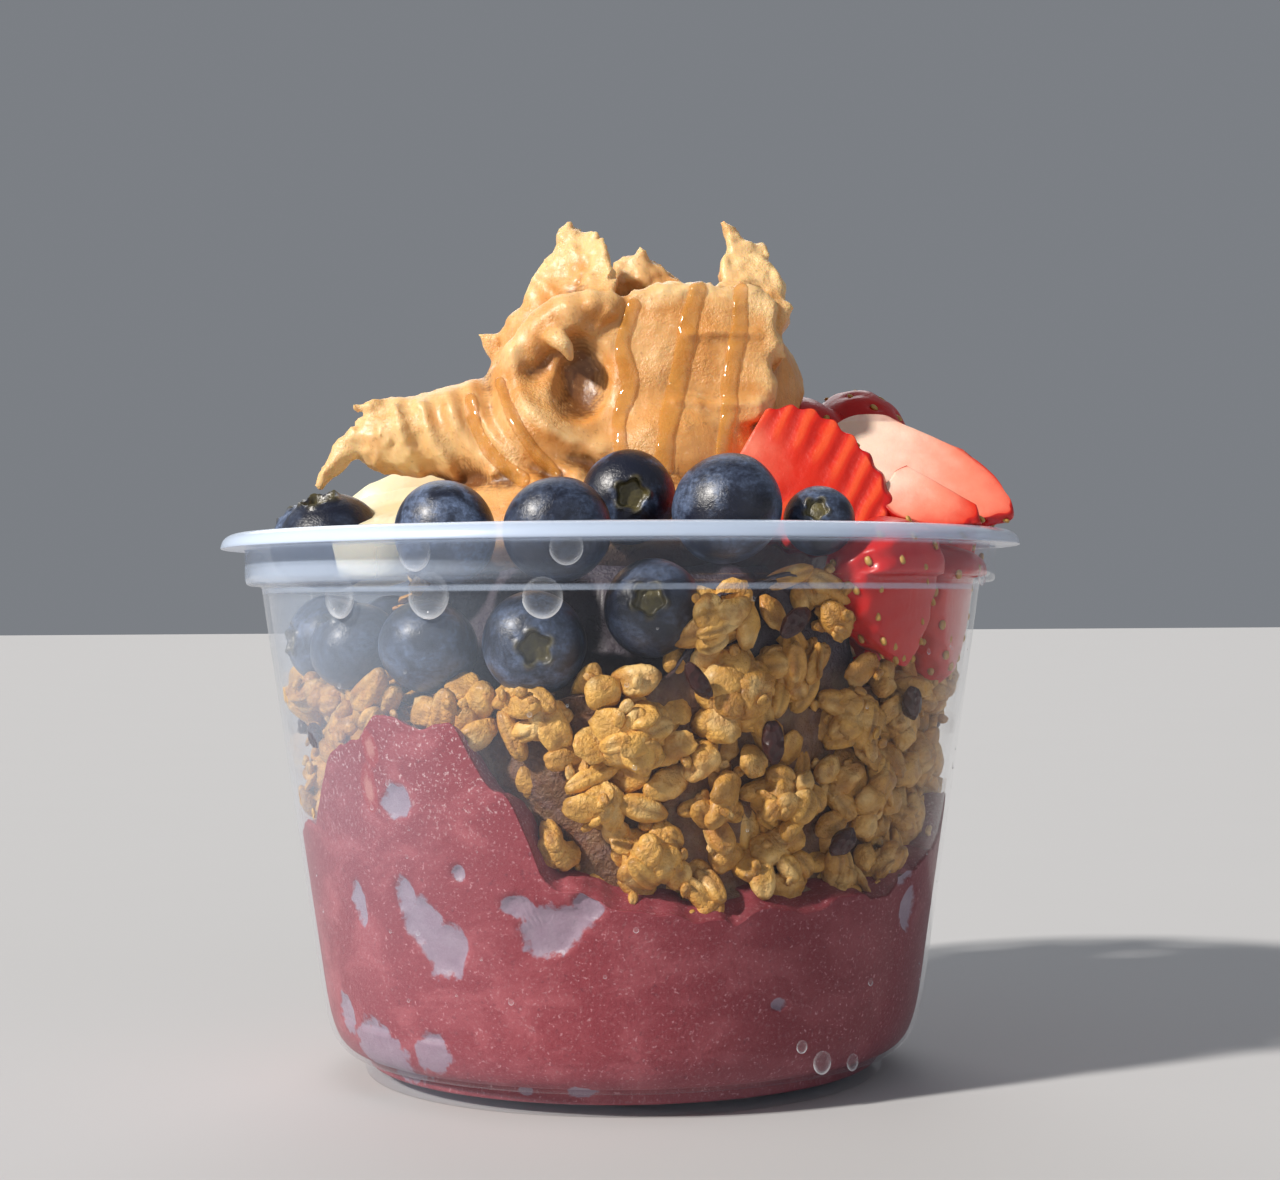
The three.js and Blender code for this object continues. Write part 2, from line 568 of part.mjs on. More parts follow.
const numbered = (name, i) => `${name}_${String(i + 1).padStart(2, '0')}`;

addPiece('tub', tub(), COLOURS.tub, 0.25);
addPiece('puree', puree(), COLOURS.puree, 0.6);
addPiece('granola', granola, COLOURS.granola, 0.75);
BLUEBERRIES.forEach((berry, i) => {
  addPiece(numbered('blueberry', i), blueberry(berry), COLOURS.blueberry, 0.45);
});
strawberries.forEach((solid, i) => addPiece(numbered('strawberry', i), solid, COLOURS.strawberry, 0.4));
bananas.forEach((solid, i) => addPiece(numbered('banana', i), solid, COLOURS.banana, 0.5));
addPiece('peanut_butter', butter, COLOURS.butter, 0.5);

export default group;
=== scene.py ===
"""Dresses an acai bowl: a clear round tub of puree, granola, fruit, peanut butter and honey.

Lengths are worked out in millimetres and become metres where a mesh is made. The tub stands on
Z = 0 around the Z axis with its front towards -Y. Angles round the tub are in degrees from the
front towards +X.
"""

import math

import bpy
import numpy as np
import openvdb
from mathutils import Matrix, Vector


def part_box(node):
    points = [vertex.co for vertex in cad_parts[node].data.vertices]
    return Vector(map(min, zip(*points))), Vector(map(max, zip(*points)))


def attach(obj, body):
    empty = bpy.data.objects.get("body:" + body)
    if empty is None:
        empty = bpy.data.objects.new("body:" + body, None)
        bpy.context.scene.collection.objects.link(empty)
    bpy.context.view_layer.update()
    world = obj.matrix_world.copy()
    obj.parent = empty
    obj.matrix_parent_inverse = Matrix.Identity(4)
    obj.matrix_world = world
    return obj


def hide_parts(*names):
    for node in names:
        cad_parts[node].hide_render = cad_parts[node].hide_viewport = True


bl_info = {
    "name": "Acai Bowl",
    "version": (1, 0, 0),
    "blender": (4, 5, 0),
    "location": "View3D > Sidebar > Acai Bowl",
    "description": "Builds a clear tub of acai puree, granola, fruit and peanut butter",
    "category": "Add Mesh",
}

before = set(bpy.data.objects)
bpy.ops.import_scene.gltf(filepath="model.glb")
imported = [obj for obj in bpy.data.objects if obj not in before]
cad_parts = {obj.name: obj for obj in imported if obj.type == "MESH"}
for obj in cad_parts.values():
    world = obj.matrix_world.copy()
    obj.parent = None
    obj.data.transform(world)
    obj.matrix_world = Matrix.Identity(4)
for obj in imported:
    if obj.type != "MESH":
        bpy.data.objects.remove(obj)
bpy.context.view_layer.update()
MM = 0.001
UP = np.array([0.0, 0, 1])


def node_box(name):
    """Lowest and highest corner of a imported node, in millimetres."""
    low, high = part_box(name)
    return np.array(low) / MM, np.array(high) / MM


def nodes_named(kind):
    """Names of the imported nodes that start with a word, in order."""
    return sorted(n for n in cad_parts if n.startswith(kind))


RIM_RADIUS, _, RIM_HEIGHT = map(float, node_box("tub")[1])

# ---------------------------------------------------------------- forms shared with the solids

# Tub: the wall's radius at the floor and its growth by height, collar, corner, foot and base,
# and the thickness of the rim flange and of the plastic.
WALL_AT_ZERO, WALL_TAPER = 42.7, 0.144
COLLAR_RADIUS, COLLAR_BOTTOM = RIM_RADIUS - 3.5, RIM_HEIGHT - 7.55
CORNER_TOP, FOOT_RADIUS, FOOT_HEIGHT, RECESS = 9.6, 38.2, 3.3, 0.9
RIM_THICK, SKIN = 2.2, 0.8

# Levels round the tub as (angle, height), and the heights in the middle.
PUREE_LEVEL = [
    (-92, 33), (-66, 38), (-50, 50), (-38, 53), (-27, 52), (-19, 43), (-9, 31), (2, 27.5),
    (48, 28.5), (70, 33), (88, 39), (112, 32), (150, 43), (178, 34), (222, 45), (248, 38),
]
PUREE_MIDDLE = 38

# How far the puree reaches into the plastic, so that no air shows, and how deep a pocket is.
INTO_WALL, POCKET_DEPTH = 0.2, 0.7

# The same for the granola, and the share of the way to the wall where its heap steps down.
GRANOLA_LEVEL = [
    (-90, 56), (-50, 55.2), (-18, 55.4), (-4, 57), (8, 59.4), (17, 70), (26, 72), (38, 68),
    (47, 57), (85, 56), (125, 55), (160, 55.4), (200, 55.6), (238, 55.4),
]
GRANOLA_MIDDLE = 76
GRANOLA_SHELF = 0.73

# How far the heap's core stands back from the wall, how much further out it comes in the gap,
# and the room kept round each fruit.
CORE_BACK = 5.8
GAP_FORWARD = 4.2 / 46
FRUIT_GAP = 0.8

# Crown direction of each blueberry, in the order of their nodes.
CROWNS = [
    (-0.25, -0.35, 1), (0.5, 0.6, 0.2), (-0.2, 0.8, 0.4), (0.08, -1, 0.02), (0.5, 0.7, -0.3),
    (-0.15, -0.9, 0.35), (-0.9, -0.42, 0.05), (-0.5, -0.3, 0.8), (0.2, 0.5, 0.8),
    (0.08, -1, -0.1), (-0.1, -0.95, 0.2), (-0.6, 0.1, 0.8), (-0.4, 0.8, 0.5), (0.1, 0.9, -0.2),
    (0.3, 0.5, 0.9), (-0.2, 0.7, 0.7), (0.1, 1, 0.1), (-0.9, 0.3, -0.2), (-0.4, 0.6, 0.6),
    (-0.5, 0.8, 0.1), (0.3, 0.2, 0.9), (0.1, 1, 0), (0.6, 0.7, 0.3),
]

# Strawberry pieces: middle, length, radius, tip direction, and cuts (face direction, distance).
STRAWBERRIES = [
    ((25.8, -22.4, 84.3), 30, 9.8, (0.86, -0.1, -0.5),
     [((-0.12, -0.93, 0.34), 2.6), ((0.12, 0.93, -0.34), 2.9), ((-0.86, 0.1, 0.5), 10)]),
    ((41.2, -10.4, 87.4), 31, 8.6, (0.84, -0.3, -0.4),
     [((-0.04, -0.8, 0.6), 0.3), ((0.05, 0.9, 0.2), 6.4), ((0.5, 0.2, 0.85), 6.8)]),
    ((42.6, -26.2, 82), 15.6, 5.4, (0.8, -0.25, -0.5),
     [((-0.05, -0.8, 0.6), 0.9), ((0.58, 0.1, 0.81), 2.8)]),
    ((35.8, -31.8, 70.4), 21, 9.4, (0.35, -0.15, -0.88), [((-0.7, 0.68, 0.1), 3.4)]),
    ((45.4, -16.4, 67.6), 20.4, 9.6, (-0.12, 0.1, -0.95), [((-0.9, 0.3, 0.2), 3.6)]),
    ((27.6, 5.2, 91.4), 18, 8.2, (-0.5, 0.1, -0.85), [((-0.6, -0.5, -0.6), 3)]),
    ((36.6, 10.4, 91), 22, 9, (0.8, 0.3, -0.5), [((0.2, 0.95, -0.2), 3)]),
    ((45.4, 3.8, 77.4), 20, 8.4, (0.2, 0.9, -0.3), [((-0.6, -0.1, -0.8), 3.5)]),
    ((27.4, 30, 84), 25, 10, (-0.75, 0.5, -0.3), [((0.2, 0.6, 0.8), 3)]),
    ((40.6, 20.4, 76.6), 21, 8.8, (0.3, 0.5, -0.8), [((-0.8, -0.3, 0.5), 3.2)]),
    ((36.4, 27.4, 64), 19, 8.8, (-0.5, 0.7, -0.4), [((-0.7, -0.6, 0.2), 3)]),
]

# Banana slices: middle, radius, thickness, direction of the flat faces.
BANANAS = [
    ((-31.4, -21, 78.4), 11, 6.5, (-0.2, -0.33, 0.92)),
    ((-34.6, 20.6, 80.4), 13, 7, (-0.45, 0.35, 0.82)),
    ((18.6, 38.4, 79.4), 10.4, 7, (0.25, 0.75, 0.6)),
]

# Peanut butter: lobes (centre, half sizes, turn about Y in degrees), plates (outline seen from the
# front as (x, z), a point on the middle plane, the plane's slopes in x and z, half thickness at
# the foot and at the top), and strands (x, y, z, radius).
BUTTER_LOBES = [
    ((0, 1, 77), (34, 31, 13), 0),
    ((7, 0, 88), (20, 22, 15), 0),
    ((-9, -1, 91), (17, 19, 14.6), -16),
    ((13.6, 1, 97.6), (13.6, 16.5, 16), 6),
    ((2, 8, 105), (10, 7.4, 13), 12),
]
BUTTER_PLATES = [
    ([(-6, 93), (-7, 101), (-4.6, 107), (-2, 110.4), (2, 112.6), (6, 113.8), (10.5, 114.2),
      (12.4, 113.6), (16, 113.8), (20, 113.2), (22.4, 110.6), (22.6, 107), (23.8, 104.6),
      (22, 102), (22.8, 99), (21.6, 95), (18, 93.2), (9, 92.6)],
     (9, -7.4, 103), (0.02, 0.06), (10.4, 8.4)),
    ([(-12, 95), (-18.4, 101), (-18.2, 103.8), (-17.4, 106), (-19.6, 107.8), (-16.8, 108.7),
      (-14.8, 111.3), (-11.2, 117.7), (-9, 121.4), (-7.4, 124.4), (-5.6, 122.6), (-3.1, 122.2),
      (-2.2, 120.4), (-1.2, 118.2), (-0.4, 114), (-0.6, 110), (-4, 105), (-7, 98)],
     (-1, -13, 112), (-0.7, 0.36), (4.2, 1.1)),
    ([(-5, 104), (-2.4, 115), (-0.6, 118.4), (0.9, 119.8), (2.7, 120.5), (3.2, 122), (3.9, 120.6),
      (6.5, 119), (9, 117.2), (10.8, 115.2), (12.5, 110), (8, 104)],
     (3, 3.4, 112), (-0.12, 0.1), (4.4, 1.9)),
    ([(12, 108), (13.4, 112.4), (14.9, 114.8), (15.5, 118), (15.6, 121), (15.5, 123.8),
      (16.8, 122.8), (18.2, 121.2), (19.6, 120.4), (21.4, 120.6), (21.8, 118.2), (24.2, 114.4),
      (25, 109), (22, 104)],
     (19, -8, 112), (0.16, 0.34), (5.4, 1.0)),
]
BUTTER_STRANDS = [
    [(-10, -6, 91, 9.4), (-20, -8, 92.6, 7.8), (-27, -8.4, 92.8, 5.9), (-33, -9, 92, 4.9),
     (-37, -9.6, 92, 2.6), (-40.4, -10.4, 89.4, 1.5), (-43.6, -11, 85.2, 0.6)],
    [(-31, -9, 96, 2), (-35.4, -10.5, 96.4, 1.1), (-38, -11, 96.8, 0.3)],
    [(-14.6, -11, 97, 2.6), (-13.6, -12.6, 102.4, 3), (-10.4, -14, 107, 3.2),
     (-5.6, -15, 109.4, 3), (-1.6, -15.4, 110, 2.2)],
    [(-18.4, -3, 106.6, 1.6), (-20.6, -4, 107.8, 0.4)],
    [(21, -11, 103.6, 2.2), (23.6, -14.4, 103.2, 0.5)],
    [(19.8, -12, 97.4, 2.2), (21.4, -16.4, 97.6, 0.6)],
    [(21.4, -10, 110.4, 1.8), (24.2, -12, 110.6, 0.9)],
    [(3.4, 2, 117, 1.5), (3.3, 1.4, 122.3, 0.3)],
]

# The curl that hangs over the first hollow, as a strand, and the hollows (centre, half sizes).
BUTTER_CURL = [(-9.6, -15.4, 106.6, 1.8), (-8.8, -18, 105.4, 1.5), (-7.4, -18.8, 104.2, 1.0),
               (-6.8, -18.6, 102.6, 0.5)]
BUTTER_HOLLOWS = [
    ((-5.4, -22.6, 100.4), (5.8, 9.4, 7.6)),
    ((9, -41, 101), (15.6, 23.6, 13.4)),
    ((7.6, -4.4, 117.6), (4.4, 6, 4.6)),
]

# Ridges and pressed lines on the front: points (x, z), half width and height.
BUTTER_RIDGES = [
    ([(-15.6, 104), (-13.4, 96.6), (-9, 92), (-2.6, 89.6)], 1.5, 1.3),
    ([(-18, 101.6), (-15.8, 94.6), (-11.4, 89), (-6, 86.4)], 1.3, 1.1),
    ([(-21.4, 99.6), (-18.8, 93), (-15, 88), (-11.6, 85)], 1.2, 1.0),
    ([(-24.6, 98), (-22, 91.6), (-18, 86.8)], 1.2, 0.9),
    ([(-28.6, 97), (-26.4, 91), (-23.6, 86.6)], 1.0, 0.9),
    ([(-32, 96.4), (-30.6, 91), (-29, 87)], 0.9, 0.8),
    ([(9.8, 106), (14, 106.4), (19.6, 106.2)], 0.7, 0.55),
    ([(8, 96.6), (14, 96), (20, 96.2)], 0.7, 0.55),
    ([(-14.6, 117), (-9, 112.6), (-6, 108)], 1.3, 0.5),
    ([(-8.6, 121.6), (-5, 115.6), (-3.4, 110.4)], 1.0, 0.5),
]

# Honey: each trickle as points across and up the front of the mound and its half width, and
# the thickness of its coat.
HONEY = [
    ([(2.2, 110.6), (0.6, 104.6), (1.6, 99), (0, 93.4), (0.6, 88)], 1.0),
    ([(11.4, 113), (9.8, 106.6), (8.6, 99.6), (6.8, 92.6), (6.2, 87)], 1.15),
    ([(17.4, 113), (17.2, 107), (15.8, 100), (15.4, 94), (14.6, 88)], 1.05),
    ([(-21.2, 97.4), (-20.4, 93.4), (-17.6, 88.8), (-13.4, 85.4)], 0.85),
    ([(-17, 99.6), (-14.8, 94), (-12, 89.6), (-8.8, 86.2)], 0.75),
]
HONEY_THICK = 0.55

# How ripe each strawberry piece is, from pale to red through, in the order of their nodes.
RIPENESS = [0.64, -0.18, 0.05, 0.6, 0.5, 0.7, 0.7, 0.5, 0.3, 0.5, 0.6]

# How deep each piece is fluted along its length, as a share of its radius, in the same order.
FLUTES = [0.036, 0.0, 0.0, 0.02, 0.01, 0.0, 0.0, 0.01, 0.02, 0.01, 0.0]

# Colour of the painted shade on the heap and on the mound's foot, under the fruit.
FRUIT_SHADE = (0.022, 0.018, 0.04)

# Share of a strawberry's length from the leaf end to its middle, and the angle between seeds.
MIDDLE_SHARE = 0.42
GOLDEN_ANGLE = 2.399963

# Large clear drops on the wall: angle, height, radius.
DROPS = [(-44.7, 69.2, 3.0), (-27.6, 69.2, 3.1), (-28, 74.6, 2.4), (-10.4, 68.8, 2.7),
         (-6.6, 75, 2.2), (38, 6.4, 1.6), (46, 5.6, 1.2), (33, 9, 0.9), (66, 71.6, 1.4),
         (120, 69, 2.4), (163, 74.4, 2.1), (205, 68.6, 2.8), (246, 70, 2.2)]

# Air pockets between puree and wall: angle, height, half width, half height, lean in degrees.
POCKETS = [
    (-38, 42, 2.6, 2.6, 0), (-51, 27.5, 1.6, 3.4, 10), (-35, 26, 3.4, 3.2, -30),
    (-31, 22.6, 3.8, 3.4, 20), (-38.5, 29.5, 1.8, 2.6, 0), (-16.6, 28.8, 2.2, 1.6, 0),
    (-10.5, 26, 5, 3.2, 25), (-5.5, 29, 2, 2, 0), (-51, 6.5, 6.4, 4.6, -15),
    (-36, 8, 3.6, 2.8, 30), (-62, 11, 2.4, 3, 0), (-8, 3.6, 2.4, 1, 0), (-20, 3.2, 1.4, 0.8, 0),
    (-27, 33, 1, 1.2, 0), (58, 33, 3, 4.4, -20), (61, 25.5, 2.4, 3, 0), (28, 15, 1.2, 1, 0),
    (104, 24, 3.4, 5, 15), (128, 14, 4.4, 3, 0), (155, 30, 3, 4.6, -20), (171, 12, 2.6, 2, 0),
    (196, 26, 4, 3, 30), (214, 9, 5, 3.4, 0), (232, 29, 2.6, 4.4, 10), (249, 17, 3.6, 2.6, -20),
]

# Dried fruits among the kernels: angle, height.
RAISINS = [(24.5, 50), (27, 65.4), (55, 54), (-62, 50), (40, 36), (100, 50), (140, 50), (190, 48),
           (231, 52), (265, 50), (12, 58)]

# Bits of pale fruit that show at the puree's face, in the same terms.
FRUIT_BITS = [(-42.6, 49, 1.3, 2.3, 14), (-44, 43.4, 1.4, 3, 6), (163, 37, 1.6, 2.2, 0)]


# ---------------------------------------------------------------- settings


def length(name, description, default):
    """A size that is given in millimetres and kept in metres."""
    return bpy.props.FloatProperty(
        name=name, description=description, default=default * MM, min=0.0, unit="LENGTH")


def colour(name, description, default):
    """A colour of three linear shares."""
    return bpy.props.FloatVectorProperty(
        name=name, description=description, default=default, size=3, min=0.0, max=1.0,
        subtype="COLOR")


def share(name, description, default):
    """A number from 0 to 1."""
    return bpy.props.FloatProperty(
        name=name, description=description, default=default, min=0.0, max=1.0, subtype="FACTOR")


def count(name, description, default):
    """A whole number of pieces."""
    return bpy.props.IntProperty(name=name, description=description, default=default, min=1)


class BowlTubSettings(bpy.types.PropertyGroup):
    """The clear tub"""
    skin: length("Skin", "Thickness of the plastic", SKIN)
    tint: colour("Tint", "Colour of the milky plastic", (0.66, 0.78, 0.98))
    haze: share("Haze", "How much of each wall surface is milky", 0.001)


class BowlPureeSettings(bpy.types.PropertyGroup):
    """The frozen acai puree"""
    body: colour("Body", "Main colour of the puree", (0.25, 0.034, 0.048))
    light: colour("Light", "Colour of its icy, lighter streaks", (0.45, 0.12, 0.14))
    frost: colour("Frost", "Colour of an air pocket against the wall", (0.36, 0.31, 0.38))
    grain: length("Grain", "Size of the ice grains", 0.35)


class BowlGranolaSettings(bpy.types.PropertyGroup):
    """The granola heap and its kernels"""
    clusters: count("Clusters", "Number of baked clusters", 86)
    loose: count("Loose kernels", "Number of kernels between the clusters", 520)
    strewn: count("Strewn kernels", "Number of kernels tried on top of the heap", 260)
    crumbs: count("Crumbs", "Number of small broken bits on the kernels", 900)
    kernel_length: length("Kernel length", "Length of a puffed kernel", 6.0)
    pale: colour("Pale", "Colour of the palest oats", (0.86, 0.49, 0.105))
    toasted: colour("Toasted", "Colour of the most toasted oats", (0.44, 0.18, 0.022))


class BowlBerrySettings(bpy.types.PropertyGroup):
    """The blueberries"""
    skin: colour("Skin", "Colour of the blueberry skin", (0.006, 0.008, 0.021))
    bloom: colour("Bloom", "Colour of the waxy bloom", (0.18, 0.25, 0.42))
    eye: colour("Crown", "Colour inside the crown", (0.16, 0.13, 0.035))


class BowlStrawberrySettings(bpy.types.PropertyGroup):
    """The cut strawberries"""
    skin: colour("Skin", "Colour of the strawberry skin", (0.5, 0.008, 0.008))
    flesh: colour("Flesh", "Colour of ripe cut flesh", (0.66, 0.024, 0.008))
    blush: colour("Blush", "Colour of half-ripe cut flesh", (0.84, 0.25, 0.16))
    heart: colour("Heart", "Colour of the palest flesh", (0.88, 0.66, 0.53))
    seed: colour("Seed", "Colour of the seeds", (0.62, 0.4, 0.1))


class BowlBananaSettings(bpy.types.PropertyGroup):
    """The banana slices"""
    flesh: colour("Flesh", "Colour of the banana slice", (0.85, 0.77, 0.52))
    heart: colour("Heart", "Colour of the ring round the seeds", (0.74, 0.6, 0.32))


class BowlButterSettings(bpy.types.PropertyGroup):
    """The peanut butter and the honey"""
    voxel: length("Voxel", "Grid step of the mound", 0.44)
    body: colour("Body", "Main colour of the peanut butter", (0.66, 0.285, 0.07))
    pale: colour("Pale", "Colour of its thin, scraped parts", (0.86, 0.6, 0.29))
    honey: colour("Honey", "Colour of the trickled honey", (0.7, 0.29, 0.035))


class BowlStageSettings(bpy.types.PropertyGroup):
    """The floor and the light"""
    floor: colour("Floor", "Colour of the floor", (0.54, 0.54, 0.55))
    key: bpy.props.FloatProperty(
        name="Key light", description="Strength of the light from the left", default=4.4, min=0.0)


# ---------------------------------------------------------------- numbers and noise


def angle_of(x, y):
    """Angle round the tub of a place, from -180 to 180 degrees."""
    return np.degrees(np.arctan2(x, -y))


def around(pairs, degrees):
    """A value round the tub from (angle, value) pairs, eased by half a cosine between them."""
    angles = np.array([p[0] for p in pairs] + [pairs[0][0] + 360], float)
    values = np.array([p[1] for p in pairs] + [pairs[0][1]], float)
    turn = np.mod(np.asarray(degrees, float) - angles[0], 360) + angles[0]
    at = np.clip(np.searchsorted(angles, turn, side="right") - 1, 0, len(pairs) - 1)
    t = (turn - angles[at]) / (angles[at + 1] - angles[at])
    return values[at] + (values[at + 1] - values[at]) * (1 - np.cos(np.pi * t)) / 2


def smoothstep(low, high, x):
    """0 up to low, 1 from high, and t * t * (3 - 2 t) between them."""
    t = np.clip((x - low) / (high - low), 0, 1)
    return t * t * (3 - 2 * t)


def noise(points, cell, seed=0, octaves=1):
    """Smooth value noise from -1 to 1: hashed corner values of a lattice, eased between them."""
    total = np.zeros(points.shape[:-1])
    size, weight = 0.0, 1.0
    for octave in range(octaves):
        p = points / (cell / 2 ** octave)
        base = np.floor(p).astype(np.int64)
        f = p - base
        f = f * f * (3 - 2 * f)
        for corner in np.ndindex(2, 2, 2):
            q = base + np.array(corner)
            key = (q[..., 0] * 73856093) ^ (q[..., 1] * 19349663) ^ (q[..., 2] * 83492791)
            key = (key ^ ((seed + octave) * 2654435761)) & 0xFFFFFFFF
            key = ((key ^ (key >> 15)) * 2246822519) & 0xFFFFFFFF
            key = ((key ^ (key >> 13)) * 3266489917) & 0xFFFFFFFF
            value = ((key ^ (key >> 16)) & 0xFFFF) / 32767.5 - 1
            side = np.where(np.array(corner, bool), f, 1 - f)
            total += weight * value * side[..., 0] * side[..., 1] * side[..., 2]
        size += weight
        weight /= 2
    return total / size


def unit(v):
    """Vectors scaled to a length of 1."""
    v = np.asarray(v, float)
    return v / np.linalg.norm(v, axis=-1, keepdims=True)


def turn_of(sides):
    """Angles of the points of a closed ring, in radians."""
    return np.arange(sides) * 2 * np.pi / sides


def outward_at(degrees):
    """Unit vectors straight out from the tub's axis at angles round it."""
    a = np.radians(degrees)
    return np.stack([np.sin(a), -np.cos(a), 0 * a], -1)


def at_wall(out, radius, z):
    """Places at a radius along outward directions, and at a height."""
    return out * radius[:, None] + UP * z[:, None]


def turned_to(direction, spin=0.0):
    """Matrix whose columns are two side axes and the given direction, spun about it."""
    z = unit(direction)
    helper = UP if abs(z[2]) < 0.9 else np.array([1.0, 0, 0])
    x = unit(np.cross(helper, z))
    y = np.cross(z, x)
    c, s = math.cos(spin), math.sin(spin)
    return np.stack([c * x + s * y, c * y - s * x, z], axis=1)


# ---------------------------------------------------------------- meshes


def set_values(mesh, values):
    """Puts one number for each point into the mesh, under each name."""
    for key, value in values.items():
        mesh.attributes.new(key, "FLOAT", "POINT").data.foreach_set(
            "value", np.asarray(value, np.float32).ravel())


def make_piece(name, points, quads=(), tris=(), values=None):
    """A smooth mesh object from points in millimetres, faces, and point values by name."""
    loops = np.concatenate([np.ravel(quads), np.ravel(tris)]).astype(np.int32)
    sizes = np.concatenate([np.full(len(quads), 4), np.full(len(tris), 3)])
    starts = np.concatenate([[0], np.cumsum(sizes)[:-1]]).astype(np.int32)
    mesh = bpy.data.meshes.new(name)
    mesh.vertices.add(len(points))
    mesh.vertices.foreach_set("co", (points * MM).astype(np.float32).ravel())
    mesh.loops.add(len(loops))
    mesh.loops.foreach_set("vertex_index", loops)
    mesh.polygons.add(len(sizes))
    mesh.polygons.foreach_set("loop_start", starts)
    mesh.polygons.foreach_set("use_smooth", np.ones(len(sizes), bool))
    mesh.update(calc_edges=True)
    set_values(mesh, values or {})
    if mesh.validate():
        raise RuntimeError(f"{name}: the mesh had faces that had to be mended")
    piece = bpy.data.objects.new(name, mesh)
    bpy.context.scene.collection.objects.link(piece)
    return piece


def place(piece, slot, material, *nodes):
    """The piece rides on the tub, wears its material and stands for the nodes it replaces."""
    piece.data.materials.append(material)
    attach(piece, "root")
    if nodes:
        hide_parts(*nodes)


def ring_faces(n, m):
    """Faces of n rings of m points closed round each ring, with a fan to a pole at each end."""
    i = np.arange(n - 1)[:, None] * m
    j = np.arange(m)[None, :]
    k = (j + 1) % m
    quads = np.stack([i + j, i + k, i + k + m, i + j + m], -1).reshape(-1, 4)
    j, k = j[0], k[0]
    low = np.stack([np.full(m, n * m), k, j], -1)
    high = np.stack([np.full(m, n * m + 1), (n - 1) * m + j, (n - 1) * m + k], -1)
    return quads, np.concatenate([low, high])


def ring_points(rings):
    """Points of rings (n, m, 3) followed by the two poles, each the middle of its end ring."""
    flat = rings.reshape(-1, rings.shape[-1])
    return np.concatenate([flat, rings[0].mean(0)[None], rings[-1].mean(0)[None]])


def with_poles(field, low=None, high=None):
    """Values on rings followed by the poles' own, by default the means of the end rings."""
    low = field[0].mean() if low is None else low
    high = field[-1].mean() if high is None else high
    return np.concatenate([field.ravel(), [low, high]])


def ring_piece(name, rings, values=None):
    """A closed piece from rings of points, with a pole at each end."""
    quads, tris = ring_faces(*rings.shape[:2])
    return make_piece(name, ring_points(rings), quads, tris, values)


def rings_round(radius, height, sides):
    """Rings round the Z axis from grids of radius and height, one row for each ring."""
    out = outward_at(np.arange(sides) * 360 / sides)
    return np.stack([radius * out[:, 0], radius * out[:, 1], height + 0 * out[:, 0]], -1)


def rounded(corners, steps=5):
    """A profile with its corners rounded: (r, z, radius) corners become quadratic curves."""
    c = np.array(corners, float)
    out = [c[0:1, :2]]
    for before, here, after in zip(c[:-2], c[1:-1], c[2:]):
        p, reach = here[:2], here[2]
        back, ahead = before[:2] - p, after[:2] - p
        start = p + unit(back) * min(reach, np.linalg.norm(back) * 0.49)
        end = p + unit(ahead) * min(reach, np.linalg.norm(ahead) * 0.49)
        t = np.linspace(0, 1, steps)[:, None]
        out.append((1 - t) ** 2 * start + 2 * t * (1 - t) * p + t ** 2 * end)
    out.append(c[-1:, :2])
    return np.concatenate(out)


def dense(profile, step):
    """The profile with points added so that none lie further apart than step."""
    out = [profile[0:1]]
    for a, b in zip(profile[:-1], profile[1:]):
        n = max(1, int(np.ceil(np.linalg.norm(b - a) / step)))
        t = np.linspace(0, 1, n + 1)[1:, None]
        out.append(a + (b - a) * t)
    return np.concatenate(out)


def copies(template, faces, frames, offsets):
    """Many turned and moved copies of a template (points, triangles) as one mesh's arrays."""
    points = np.einsum("nij,vj->nvi", frames, template) + offsets[:, None, :]
    step = np.arange(len(offsets))[:, None, None] * len(template)
    return points, (faces[None] + step).reshape(-1, faces.shape[1])


# ---------------------------------------------------------------- shaders


class Value:
    """A number socket that takes part in arithmetic; each operation adds a Math node."""

    def __init__(self, shader, socket):
        self.shader, self.socket = shader, socket

    def _math(self, operation, *others):
        values = dict(enumerate((self,) + others))
        node = self.shader.node("ShaderNodeMath", {"operation": operation}, values)
        return Value(self.shader, node.outputs[0])

    def __add__(self, other):
        return self._math("ADD", other)

    __radd__ = __add__

    def __mul__(self, other):
        return self._math("MULTIPLY", other)

    __rmul__ = __mul__

    def __sub__(self, other):
        return self._math("SUBTRACT", other)

    def __rsub__(self, other):
        return (self * -1.0) + other

    def __pow__(self, other):
        return self._math("POWER", other)

    def eased(self, low, high):
        """0 below low, 1 above high, and a smooth step between them."""
        node = self.shader.node(
            "ShaderNodeMapRange", {"interpolation_type": "SMOOTHSTEP"},
            {"Value": self, "From Min": low, "From Max": high})
        return Value(self.shader, node.outputs["Result"])


